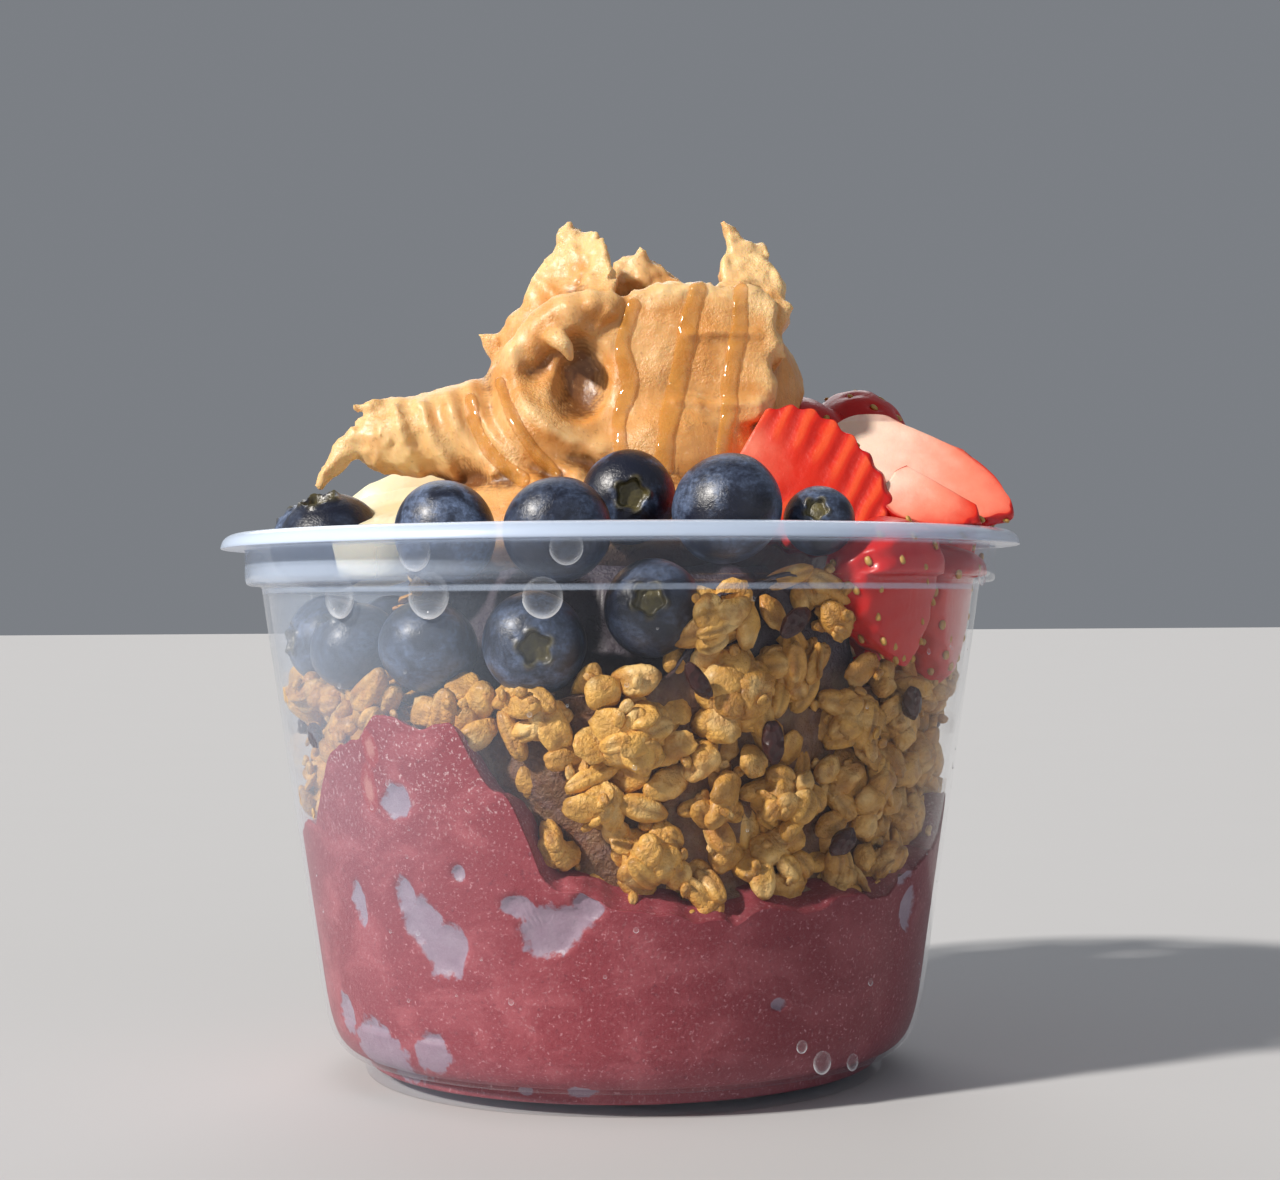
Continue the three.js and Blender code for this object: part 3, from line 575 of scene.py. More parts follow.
class Shader:
    """One material's node tree and the few kinds of node that the finishes share."""

    def __init__(self, name):
        self.material = bpy.data.materials.new(name)
        self.material.use_nodes = True
        self.tree = self.material.node_tree
        self.tree.nodes.clear()
        self.place = self.node("ShaderNodeTexCoord").outputs["Object"]

    def node(self, kind, settings=None, values=None):
        """A node of a type, with its settings, and the values or links of its sockets."""
        node = self.tree.nodes.new(kind)
        for key, value in (settings or {}).items():
            setattr(node, key, value)
        for key, value in (values or {}).items():
            if isinstance(value, Value):
                value = value.socket
            if isinstance(value, bpy.types.NodeSocket):
                self.tree.links.new(value, node.inputs[key])
            elif isinstance(value, tuple) and len(value) == 3 and node.inputs[key].type == "RGBA":
                node.inputs[key].default_value = (*value, 1.0)
            else:
                node.inputs[key].default_value = value
        return node

    def attribute(self, name):
        """The value that the mesh holds for each point under a name, or 0 where it has none."""
        node = self.node("ShaderNodeAttribute", {"attribute_name": name})
        return Value(self, node.outputs["Fac"])

    def along(self, axis):
        """Distance from the middle of the tub's foot along X, Y or Z, in millimetres."""
        node = self.node("ShaderNodeSeparateXYZ", values={0: self.place})
        return Value(self, node.outputs[axis]) * 1000.0

    def noise(self, size, detail=3.0, rough=0.55, stretch=(1, 1, 1), distort=0.0):
        """Noise with features of the given size in millimetres, from 0 to 1."""
        moved = self.node("ShaderNodeMapping", values={"Vector": self.place, "Scale": stretch})
        node = self.node("ShaderNodeTexNoise", values={
            "Vector": moved.outputs[0], "Scale": 1000.0 / size, "Detail": detail,
            "Roughness": rough, "Distortion": distort})
        return Value(self, node.outputs["Fac"])

    def cells(self, size):
        """Distance to the middle of the nearest cell, for cells of a size in millimetres."""
        node = self.node("ShaderNodeTexVoronoi", values={
            "Vector": self.place, "Scale": 1000.0 / size})
        return Value(self, node.outputs["Distance"])

    def mix(self, factor, a, b):
        """Colour a where factor is 0 and colour b where it is 1."""
        node = self.node("ShaderNodeMix", {"data_type": "RGBA"}, {0: factor, 6: a, 7: b})
        return node.outputs[2]

    def bump(self, height, depth, strength=1.0):
        """A normal bumped by a height from 0 to 1 that stands for depth millimetres."""
        return self.node("ShaderNodeBump", values={
            "Height": height, "Distance": depth * MM, "Strength": strength}).outputs[0]

    def principled(self, **sockets):
        """The main shader; a socket's name is written with underscores for its spaces."""
        values = {key.replace("_", " "): value for key, value in sockets.items()}
        return self.node("ShaderNodeBsdfPrincipled", values=values).outputs[0]

    def done(self, shader):
        """Joins the shader to the output and gives the finished material."""
        self.node("ShaderNodeOutputMaterial", values={"Surface": shader})
        return self.material


def plastic_material(settings):
    """Clear deli plastic: a milky veil, denser at rim, ledge and foot, and thickened towards the left
    and upwards as painted glare of the light, under a gloss that grows towards the edges."""
    s = Shader("milky_clear_plastic")
    z = s.along("Z")
    up = z - COLLAR_BOTTOM
    rim = z.eased(RIM_HEIGHT - RIM_THICK - 0.6, RIM_HEIGHT - RIM_THICK + 0.6)
    collar = up.eased(-0.45, 0.55)
    ledge = up.eased(-1.25, -0.95) * (1.0 - up.eased(-0.55, -0.15))
    foot = 1.0 - z.eased(FOOT_HEIGHT - 0.3, CORNER_TOP + 1.4)
    cloud = s.noise(14.0, 4.0, 0.5, (1, 1, 0.3)) * 0.01 + s.noise(0.9, 2.0) * 0.002
    # Painted glare: the veil is made thicker and whiter to the left and upwards, where the light falls
    # on the wall.
    painted_glare = (1.0 - s.along("X").eased(-46.0, -2.0)) * (z.eased(4.0, 46.0) * 0.65 + 0.35)
    veil = cloud * (painted_glare * 6.0 + 1.0) + painted_glare * 0.11 + settings.haze
    # The collar's veil also grows with the painted glare.
    veil = veil + rim * 0.55 + collar * (painted_glare * 0.2 + 0.022) + ledge * 0.22 + foot * 0.03
    body = s.principled(
        Base_Color=tuple(settings.tint), Roughness=0.3, Alpha=veil, IOR=1.49,
        Specular_IOR_Level=0.6, Transmission_Weight=0.0, Subsurface_Weight=0.0,
        Normal=s.bump(s.noise(2.2, 2.0), 0.05, 0.3))
    gloss = s.node("ShaderNodeBsdfGlossy", values={
        "Color": (1.0, 1.0, 1.0), "Roughness": 0.12,
        "Normal": s.bump(s.noise(5.0, 2.0), 0.12, 0.35)}).outputs[0]
    facing = Value(s, s.node("ShaderNodeLayerWeight", values={"Blend": 0.5}).outputs["Facing"])
    edge = facing ** 5.0 * 0.5 + 0.006
    mixed = s.node("ShaderNodeMixShader", values={0: edge, 1: body, 2: gloss})
    return s.done(mixed.outputs[0])


def puree_material(settings):
    """Frozen puree: rose body with lighter streaks, with painted shade darkening it to the right,
    with fine ice grains, frost over the air pockets and pale bits of fruit."""
    s = Shader("frozen_acai_puree")
    shaded, fleck = (0.12, 0.011, 0.02), (0.1, 0.02, 0.035)
    ice_grain, rime, dim_frost = (0.66, 0.36, 0.4), (0.78, 0.6, 0.62), (0.22, 0.15, 0.22)
    fruit_skin, fruit_flesh = (0.36, 0.04, 0.045), (0.52, 0.25, 0.22)
    pocket = s.attribute("pocket")
    streak = s.noise(9.0, 5.0, 0.6, (1, 1, 1.6), 0.6).eased(0.42, 0.72)
    body = s.mix(streak * 0.55, tuple(settings.body), tuple(settings.light))
    # Painted shade: the body turns towards the shaded colour to the right, with a slow wander.
    shade_rightwards = s.noise(26.0, 2.0) * 14.0 + s.along("X")
    body = s.mix(shade_rightwards.eased(2.0, 44.0) * 0.55, body, shaded)
    speck = s.noise(settings.grain / MM * 1.6, 2.0, 0.7).eased(0.6, 0.74)
    icy = s.mix(speck * 0.5, body, ice_grain)
    dark = s.noise(0.8, 2.0).eased(0.62, 0.75)
    body = s.mix(dark * 0.4, icy, fleck)
    high = s.along("Z").eased(32.0, 50.0)
    ice = s.noise(settings.grain / MM * 1.5, 3.0, 0.7).eased(0.56, 0.68) * (high * 0.6 + 0.1)
    body = s.mix(ice, body, rime)
    ragged = pocket + (s.noise(1.6, 3.0) - 0.5) * 0.5
    air = ragged.eased(0.46, 0.57)
    frost = s.mix(s.noise(2.4, 4.0), tuple(settings.frost), dim_frost)
    final = s.mix(air * 0.85, body, frost)
    bit = s.attribute("bit") + (s.noise(1.0, 3.0) - 0.5) * 0.3
    final = s.mix(bit.eased(0.38, 0.5) * 0.6, final, fruit_skin)
    final = s.mix(bit.eased(0.6, 0.8) * 0.6, final, fruit_flesh)
    relief = s.noise(0.7, 3.0) * 0.6 + s.noise(3.0, 3.0) * 0.4
    return s.done(s.principled(
        Base_Color=final, Roughness=0.62 - air * 0.2, Normal=s.bump(relief, 0.35, 0.6),
        Specular_IOR_Level=0.4))


def granola_material(settings, name, shade=1.0):
    """Toasted oats: each piece has its own tone, browner in creases, and painted shade to the right;
    a shade below 1 darkens all colours as painted shade; the core is stained by the puree in the gap
    and has painted shade under the fruit."""
    s = Shader(name)
    tone = s.attribute("tone")
    mottle = s.noise(1.7, 4.0, 0.6).eased(0.35, 0.7)
    pale, toasted, burnt, cream = [tuple(v * shade for v in hue) for hue in (
        settings.pale, settings.toasted, (0.5, 0.2, 0.035), (0.9, 0.63, 0.26))]
    purple, wine, frosted = (0.11, 0.03, 0.13), (0.24, 0.03, 0.1), (0.36, 0.27, 0.46)
    mixed = s.mix(tone * 0.7 + mottle * 0.4, pale, toasted)
    mixed = s.mix(s.noise(4.6, 3.0).eased(0.5, 0.66) * 0.7, mixed, cream)
    mixed = s.mix(s.noise(3.4, 3.0).eased(0.55, 0.7) * 0.5, mixed, burnt)
    crease = s.cells(2.4).eased(0.0, 0.45)
    # Painted shade: the kernels grow darker towards the right side of the tub.
    mixed = s.mix(s.along("X").eased(8.0, 46.0) * 0.35, mixed, tuple(v * 0.7 for v in toasted))
    baked = s.mix((1.0 - crease) * 0.3, mixed, tuple(v * 0.5 for v in toasted))
    baked = s.mix(s.attribute("seam") * 0.55, baked, tuple(v * 0.4 for v in toasted))
    stain = s.mix(s.noise(5.0, 4.0).eased(0.42, 0.6), purple, wine)
    stain = s.mix(s.noise(2.6, 4.0).eased(0.5, 0.66) * 0.7, stain, frosted)
    final = s.mix(s.attribute("stain"), baked, stain)
    # Painted shade on the top of the core, under the fruit and the mound.
    final = s.mix(s.attribute("fruit_shade") * 0.9, final, FRUIT_SHADE)
    rough = s.noise(1.4, 4.0, 0.6).eased(0.3, 0.7)
    relief = s.noise(0.5, 3.0).eased(0.3, 0.7) * 0.3 + rough * 0.4 + s.cells(1.3) * 0.3
    return s.done(s.principled(
        Base_Color=final, Roughness=s.noise(2.0) * 0.3 + 0.4, Normal=s.bump(relief, 0.42, 0.9),
        Coat_Weight=0.2, Coat_Roughness=0.3))


def raisin_material():
    """Dried fruit: near black, finely wrinkled."""
    s = Shader("dark_dried_fruit")
    wrinkle = s.cells(1.1)
    shade = s.mix(s.noise(1.5), (0.02, 0.006, 0.008), (0.07, 0.016, 0.012))
    return s.done(s.principled(
        Base_Color=shade, Roughness=0.35, Normal=s.bump(wrinkle, 0.4, 1.0)))


def berry_material(settings):
    """Blueberry: near-black skin under rubbed waxy bloom, with a browner, drier crown."""
    s = Shader("blueberry_skin")
    crown = s.attribute("crown")
    cloud = s.noise(5.5, 5.0, 0.62, (1, 1, 1), 0.5).eased(0.4, 0.64)
    fine = s.noise(0.7, 4.0, 0.7).eased(0.3, 0.75)
    scuff = s.noise(1.6, 3.0, 0.6, (1, 1, 3.5)).eased(0.5, 0.7)
    wax = cloud * (fine * 0.65 + 0.3) * (1.0 - scuff * 0.6) * s.attribute("dusty")
    skin = s.mix(wax, tuple(settings.skin), tuple(settings.bloom))
    dry = s.mix(s.noise(0.8, 3.0), tuple(settings.eye), (0.03, 0.025, 0.02))
    final = s.mix(crown, skin, dry)
    return s.done(s.principled(
        Base_Color=final, Roughness=wax * 0.3 + 0.3, Coat_Weight=0.22, Coat_Roughness=0.28,
        Normal=s.bump(fine * 0.5 + s.noise(0.35) * 0.3, 0.14, 0.5), Specular_IOR_Level=0.5))


def strawberry_material(settings):
    """Strawberry: glossy seeded skin; cut faces go from pale at the leaf end to red at the tip,
    and from pale to red outwards; where it is ripe, the flutes' ridges are brighter and their grooves
    darker, partly the flesh's own streaks and partly painted highlight and painted shade."""
    s = Shader("cut_strawberry")
    ridge, groove, bright_skin = (0.86, 0.13, 0.035), (0.36, 0.005, 0.003), (0.66, 0.035, 0.015)
    cut = s.attribute("cut").eased(0.1, 0.4)
    out = s.attribute("outward")
    grain = s.attribute("fibre")
    soft = s.noise(4.0, 3.0) - 0.5
    pale = s.noise(7.0, 2.0).eased(0.42, 0.78)
    ripe = s.attribute("ripe") + soft * 0.3 + out ** 3.0 * 0.24 + (grain - 0.5) * 0.05 - pale * 0.1
    flesh = s.mix(ripe.eased(-0.05, 0.5), tuple(settings.heart), tuple(settings.blush))
    flesh = s.mix(ripe.eased(0.4, 0.95), flesh, tuple(settings.flesh))
    rim = (out + soft * 0.1).eased(0.88, 0.98)
    flesh = s.mix(rim * 0.8, flesh, tuple(settings.skin))
    red = ripe.eased(0.6, 1.0) * out.eased(0.15, 0.6)
    # Ridge and groove bands: partly the flesh's own streaks, partly painted highlight on the flute
    # ridges and painted shade in the grooves.
    flesh = s.mix(grain.eased(0.5, 1.0) * red * 0.55, flesh, ridge)
    flesh = s.mix((1.0 - grain).eased(0.5, 1.0) * red * 0.75, flesh, groove)
    skin = s.mix(s.noise(5.0, 3.0).eased(0.35, 0.8) * 0.4, tuple(settings.skin), bright_skin)
    final = s.mix(cut, skin, flesh)
    relief = s.noise(0.9, 3.0) * 0.4 + grain * 0.6
    return s.done(s.principled(
        Base_Color=final, Roughness=s.noise(3.0) * 0.2 + 0.25, Coat_Weight=0.18,
        Coat_Roughness=0.12, Specular_IOR_Level=0.3, Subsurface_Weight=0.2,
        Subsurface_Radius=(1.0, 0.3, 0.2), Subsurface_Scale=0.002,
        Normal=s.bump(relief, 0.35, 0.6)))


def seed_material(settings):
    """Strawberry seeds: straw yellow to brown."""
    s = Shader("strawberry_seed")
    shade = s.mix(s.noise(0.7), tuple(settings.seed), (0.3, 0.12, 0.02))
    return s.done(s.principled(Base_Color=shade, Roughness=0.4, Normal=s.bump(s.noise(0.3), 0.05)))


def banana_material(settings):
    """Banana slice: cream flesh, a darker wet ring at the heart and faint rays from it."""
    s = Shader("banana_flesh")
    pale_rim = (0.9, 0.84, 0.62)
    out = s.attribute("outward")
    ray = s.attribute("fibre")
    heart = 1.0 - (out + (s.noise(1.8) - 0.5) * 0.12).eased(0.22, 0.4)
    flesh = s.mix(heart * 0.7 + ray * 0.18, tuple(settings.flesh), tuple(settings.heart))
    edge = out.eased(0.93, 1.0)
    final = s.mix(edge * 0.5, flesh, pale_rim)
    relief = s.noise(0.6, 3.0) * 0.5 + ray * 0.5
    return s.done(s.principled(
        Base_Color=final, Roughness=s.noise(2.5) * 0.2 + 0.35, Coat_Weight=0.2,
        Coat_Roughness=0.25, Subsurface_Weight=0.3, Subsurface_Radius=(1.0, 0.75, 0.4),
        Subsurface_Scale=0.002, Normal=s.bump(relief, 0.18, 0.5)))


def butter_material(settings):
    """Peanut butter: warm tan, paler where it is thin or scraped and, as painted light, on its top and
    left wing; painted shade darkens its hollows and its foot, and it is grainy in patches."""
    s = Shader("peanut_butter_spread")
    shadow, brown_speck, pale_speck = (0.12, 0.034, 0.006), (0.3, 0.12, 0.04), (0.86, 0.62, 0.38)
    thin = s.attribute("ridge")
    deep = s.attribute("hollow")
    drift = s.noise(10.0, 4.0, 0.55).eased(0.35, 0.7)
    # Paler where the spread is thin, at random, and on the top and the left wing as painted light.
    body = s.mix(thin * 0.8 + drift * 0.15, tuple(settings.body), tuple(settings.pale))
    # Painted shade in the hollows.
    body = s.mix(deep * 0.9, body, shadow)
    grain = s.noise(0.85, 3.0, 0.65)
    speck = s.mix(grain.eased(0.58, 0.74) * 0.4, body, brown_speck)
    final = s.mix((1.0 - grain).eased(0.58, 0.72) * 0.3, speck, pale_speck)
    # Painted shade on the mound's foot, below the rim, among the fruit.
    final = s.mix((1.0 - s.along("Z").eased(75.0, 79.0)) * 0.85, final, FRUIT_SHADE)
    drawn = s.noise(1.3, 3.0, 0.6, (1, 1, 0.3))
    rough = s.noise(9.0, 3.0).eased(0.4, 0.62) * (1.0 - deep)
    sand = s.noise(0.4, 2.0, 0.7) * (rough * 0.45 + 0.08)
    relief = grain * (rough * 0.35 + 0.12) + sand + s.noise(2.2, 4.0) * 0.2 + drawn * 0.22
    return s.done(s.principled(
        Base_Color=final, Roughness=s.noise(3.0, 3.0) * 0.25 + 0.3, Coat_Weight=0.12,
        Coat_Roughness=0.3, Subsurface_Weight=0.3, Subsurface_Radius=(1.0, 0.45, 0.15),
        Subsurface_Scale=0.0012, Normal=s.bump(relief, 0.45, 0.85), Specular_IOR_Level=0.5))


def honey_material(settings):
    """Honey: a clear amber coat with a wet gloss."""
    s = Shader("clear_amber_honey")
    deep = s.noise(2.4, 3.0).eased(0.3, 0.7)
    shade = s.mix(deep * 0.5, tuple(settings.honey), (0.8, 0.42, 0.1))
    return s.done(s.principled(
        Base_Color=shade, Roughness=0.06, Alpha=deep * 0.12 + 0.42, Coat_Weight=1.0,
        Coat_Roughness=0.06, IOR=1.49, Normal=s.bump(s.noise(1.6), 0.12, 0.2)))


def dew_material():
    """Water: clear in the middle of a drop, with a painted highlight round its edge."""
    s = Shader("water_drop")
    edge = s.attribute("edge")
    return s.done(s.principled(
        Base_Color=(0.92, 0.95, 1.0), Roughness=0.04, Alpha=edge * 0.6 + s.noise(1.5) * 0.03 + 0.015,
        IOR=1.33, Coat_Weight=1.0, Coat_Roughness=0.02))


def stage_material(tint):
    """Floor: a pale, barely mottled matt sheet."""
    s = Shader("pale_floor")
    tone = s.mix(s.noise(60.0, 3.0) * 0.2, tuple(tint), tuple(v * 0.92 for v in tint))
    return s.done(s.principled(Base_Color=tone, Roughness=0.85))


# ---------------------------------------------------------------- tub


def wall_radius(z):
    """Radius of the tub's outer face, which widens evenly with height."""
    return WALL_AT_ZERO + WALL_TAPER * z


def inner_corners(t):
    """Corners (radius, height, rounding) of the tub's inner face, t inwards of the outer one."""
    ledge = COLLAR_BOTTOM + t
    return [
        (1.0, RECESS + t, 0),
        (FOOT_RADIUS - t, RECESS + t, 0.5),
        (FOOT_RADIUS + 0.2 - t, FOOT_HEIGHT + t, 0.5),
        (40.9 - t / 2, 3.5 + t, 0.9),
        (42.7 - t * 0.8, 5.4 + t * 0.6, 2.4),
        (wall_radius(CORNER_TOP) - t, CORNER_TOP + t / 2, 3.0),
        (wall_radius(ledge) - t, ledge, 0.5),
        (COLLAR_RADIUS - t, ledge, 0.7),
        (COLLAR_RADIUS - t, RIM_HEIGHT - 0.5, 0.6),
        (COLLAR_RADIUS - t + 0.9, RIM_HEIGHT, 0),
    ]


def inner_radius(z):
    """Radius of the tub's inner face at a height, from its rounded profile."""
    profile = rounded(inner_corners(SKIN))
    order = np.argsort(profile[:, 1], kind="stable")
    return np.interp(z, profile[order, 1], profile[order, 0])


def build_tub(settings):
    """The wall's closed profile, out from the base up to the rim and back down inside, revolved."""
    skin = settings.skin / MM
    outer = [
        (1.0, RECESS, 0), (FOOT_RADIUS - 3.4, RECESS, 0.5), (FOOT_RADIUS - 2.6, 0, 0.4),
        (FOOT_RADIUS - 0.1, 0, 0.5), (FOOT_RADIUS + 0.2, FOOT_HEIGHT, 0.35), (40.9, 3.5, 1.0),
        (42.8, 5.4, 2.6), (wall_radius(CORNER_TOP), CORNER_TOP, 3.2),
        (wall_radius(COLLAR_BOTTOM), COLLAR_BOTTOM, 0.4), (COLLAR_RADIUS - 0.3, COLLAR_BOTTOM, 0.9),
        (COLLAR_RADIUS, COLLAR_BOTTOM + 1, 0.6), (COLLAR_RADIUS, RIM_HEIGHT - RIM_THICK, 0.3),
        (RIM_RADIUS, RIM_HEIGHT - RIM_THICK, 0.25), (RIM_RADIUS - 0.35, RIM_HEIGHT - 0.8, 1.0),
        (RIM_RADIUS - 1.7, RIM_HEIGHT, 0.8),
    ]
    corners = outer + inner_corners(skin)[::-1]
    profile = dense(rounded(corners), 3.0)
    piece = ring_piece("clear_tub", rings_round(profile[:, 0:1], profile[:, 1:2], 224))
    place(piece, "tub", plastic_material(settings), "tub")


# ---------------------------------------------------------------- puree


def puree_top(part, degrees):
    """Height of the puree at a share of the way from the middle to the wall."""
    level = around(PUREE_LEVEL, degrees)
    wave = 1.1 * np.sin(part * 9 + np.radians(3 * degrees))
    return PUREE_MIDDLE + (level - PUREE_MIDDLE) * part ** 2 + wave * part * (1 - part) * 4


def spot_field(spots, degrees, z):
    """1 in the middle of an oval spot on the wall and 0 well outside all of them."""
    field = np.zeros(np.broadcast(degrees, z).shape)
    radius = wall_radius(z)
    for angle, height, wide, tall, lean in spots:
        across = np.radians(np.mod(degrees - angle + 180, 360) - 180) * radius
        up = z - height
        c, s = math.cos(math.radians(lean)), math.sin(math.radians(lean))
        d = np.hypot((c * across + s * up) / wide, (c * up - s * across) / tall)
        field = np.maximum(field, 1 - d / 2)
    return field


def build_puree(settings):
    """Rings run up the inner wall to the level, round over and run back in to the middle.

    The wall rings reach a little into the plastic, except in the pockets.
    """
    sides = 480
    degrees = np.arange(sides) * 360 / sides
    ragged = noise(outward_at(degrees) * 46, 5.0, 11, 3) * 2.2
    edge = around(PUREE_LEVEL, degrees) + ragged
    foot = dense(rounded(inner_corners(SKIN - INTO_WALL)), 1.2)
    foot = foot[foot[:, 1] < CORNER_TOP]
    rise = np.linspace(0, 1, 100)[:, None]
    wall_z = foot[-1, 1] + 0.3 + (edge - 0.6 - foot[-1, 1]) * rise
    wall_r = inner_radius(wall_z) + INTO_WALL
    lumps = noise(rings_round(wall_r, wall_z, sides), 2.6, 5, 3)
    field = spot_field(POCKETS, degrees, wall_z) + lumps * 0.16
    wall_r = wall_r - POCKET_DEPTH * smoothstep(0.42, 0.66, field)
    inward = np.concatenate([np.linspace(0.992, 0.9, 8), np.linspace(0.86, 0.02, 22)])[:, None]
    top_r = inward * inner_radius(edge)
    top_z = puree_top(inward, degrees) + ragged * inward ** 6 - 0.5 * smoothstep(0.96, 1.0, inward)
    radius = np.concatenate([np.repeat(foot[:, 0:1], sides, 1), wall_r, top_r])
    height = np.concatenate([np.repeat(foot[:, 1:2], sides, 1), wall_z, top_z])
    rings = rings_round(radius, height, sides)
    top = rings[-len(inward):]
    top[..., 2] += 0.35 * noise(top, 1.6, 23, 2)
    pockets = np.concatenate([
        spot_field(POCKETS, degrees, foot[:, 1:2] + 0 * degrees), field, np.zeros_like(top_r)])
    bits = spot_field(FRUIT_BITS, degrees, height)
    values = {"pocket": with_poles(pockets, 0, 0), "bit": with_poles(bits, 0, 0)}
    piece = ring_piece("acai_puree", rings, values)
    place(piece, "puree", puree_material(settings), "puree")


# ---------------------------------------------------------------- granola


def crease_of(side, up):
    """1 along the crease that runs the length of a kernel's upper face, and 0 off it."""
    return np.exp(-((side / 0.22) ** 2)) * smoothstep(0.1, 0.6, up)


def pebble(sides, rows, half, seed, bumps):
    """Template kernel: an ellipsoid whose radius swells and dips with noise, with one crease."""
    a = turn_of(sides)
    t = np.linspace(0, np.pi, rows + 2)[1:-1][::-1][:, None]
    ball = np.stack([np.sin(t) * np.cos(a), np.sin(t) * np.sin(a), np.cos(t) + 0 * a], -1)
    swell = 1 + bumps * noise(ball, 0.9, seed, 2)
    crease = 1 - 0.22 * crease_of(ball[..., 0], ball[..., 1])
    rings = ball * (swell * crease)[..., None]
    points = ring_points(rings[..., [2, 0, 1]]) * np.array(half)
    quads, tris = ring_faces(rows, sides)
    halves = np.concatenate([quads[:, [0, 1, 2]], quads[:, [0, 2, 3]], tris])
    return points, halves


def band_spots(rng, number, low_layer, high_layer):
    """Random places in the band between puree and toppings: position and outward direction."""
    degrees = rng.uniform(0, 360, number)
    low = around(PUREE_LEVEL, degrees) + 0.6
    high = around(GRANOLA_LEVEL, degrees) + 0.6
    z = low + (high - low) * rng.uniform(0, 1, number)
    r = inner_radius(z) - rng.uniform(low_layer, high_layer, number)
    out = outward_at(degrees)
    return at_wall(out, r, z), out


def clear_of(spots, fruit):
    """Which places keep the small room round every fruit."""
    keep = np.ones(len(spots), bool)
    for centre, radius in fruit:
        keep &= np.sum((spots - centre) ** 2, axis=1) > (radius + FRUIT_GAP) ** 2
    return keep


def in_band(spots, fruit, rng):
    """Which places lie over the puree and under the toppings, clear of fruit and stained gap."""
    degrees = angle_of(spots[:, 0], spots[:, 1])
    z = spots[:, 2]
    keep = (z > around(PUREE_LEVEL, degrees) - 0.4) & (z < around(GRANOLA_LEVEL, degrees) + 2.2)
    keep &= (stained(degrees, z) < 0.5) | (rng.uniform(0, 1, len(z)) < 0.12)
    return keep & clear_of(spots, fruit)


def stained(degrees, z):
    """1 in the gap on the front where dark puree shows between the kernels."""
    across = smoothstep(-26, -22, degrees) * smoothstep(-1, -6, degrees)
    slant = z - (51 + (degrees + 20) * -0.7)
    return across * smoothstep(3, -1, slant)


def thinned(points, gap):
    """Indexes of points that keep a gap from every point kept before."""
    kept = []
    for i, p in enumerate(points):
        if not kept or np.min(np.sum((points[kept] - p) ** 2, axis=1)) > gap ** 2:
            kept.append(i)
    return kept


def fruit_balls():
    """Centre and radius of each blueberry and of each strawberry's middle, from the frame."""
    balls = []
    for name in nodes_named("blueberry") + nodes_named("strawberry"):
        low, high = node_box(name)
        balls.append(((low + high) / 2, float(np.min(high - low)) / 2))
    return balls


def kernel_frames(rng, outward, spread):
    """Turn and scale of each kernel: its length along the wall, tipped by up to the spread."""
    number = len(outward)
    along = rng.normal(size=(number, 3))
    along -= outward * np.sum(along * outward, 1, keepdims=True)
    along = unit(unit(along) + outward * rng.uniform(-spread, spread, (number, 1)))
    side = unit(np.cross(outward, along))
    up = np.cross(along, side)
    scale = rng.uniform((0.7, 0.78, 0.8), (1.3, 1.16, 1.1), (number, 3))
    return np.stack([along, side, up], axis=2) * scale[:, None, :]


def pressed(points):
    """Points that would pass through the wall are pressed flat against it."""
    r = np.hypot(points[..., 0], points[..., 1])
    limit = inner_radius(points[..., 2]) + 0.08
    squeeze = np.minimum(1, limit / np.maximum(r, 1e-6))
    points[..., 0] *= squeeze
    points[..., 1] *= squeeze
    return points


def scatter(name, rng, spots, outward, tones, half, spread, bumps, kinds, sides, rows):
    """One mesh of many kernels, made from a few bumpy templates; tone differs by kernel."""
    all_points, all_faces, all_tones, all_seams, start = [], [], [], [], 0
    for kind in range(kinds):
        pick = np.arange(kind, len(spots), kinds)
        template, faces = pebble(sides, rows, half, 31 + kind, bumps)
        points, tris = copies(template, faces, kernel_frames(rng, outward[pick], spread), spots[pick])
        all_points.append(pressed(points).reshape(-1, 3))
        all_faces.append(tris + start)
        all_tones.append(np.repeat(tones[pick], len(template)))
        shape = template / np.array(half)
        seam = np.maximum(crease_of(shape[:, 1], shape[:, 2]), 0.8 * np.abs(shape[:, 0]) ** 8)
        all_seams.append(np.tile(np.clip(seam, 0, 1), len(pick)))
        start += len(pick) * len(template)
    values = {"tone": np.concatenate(all_tones), "seam": np.concatenate(all_seams)}
    return make_piece(name, np.concatenate(all_points), tris=np.concatenate(all_faces),
                      values=values)


def heap_top(part, high):
    """Height of the heap's top at a share of the way to the wall, where it steps up to high."""
    shelf = smoothstep(GRANOLA_SHELF - 0.15, GRANOLA_SHELF - 0.01, part)
    return (GRANOLA_MIDDLE - 5 * part) * (1 - shelf) + (high - 1) * shelf


def top_spots(rng, number, fruit):
    """Places and upward directions of the kernels strewn on the heap, clear of the fruit."""
    degrees = rng.uniform(52, 300, number)
    part = rng.uniform(0.42, 0.97, number)
    high = around(GRANOLA_LEVEL, degrees)
    out = outward_at(degrees)
    z = heap_top(part, high) + rng.uniform(0.4, 1.6, number)
    spots = at_wall(out, part * inner_radius(high), z)
    keep = clear_of(spots, fruit)
    return spots[keep], unit(out * 0.4 + UP)[keep]


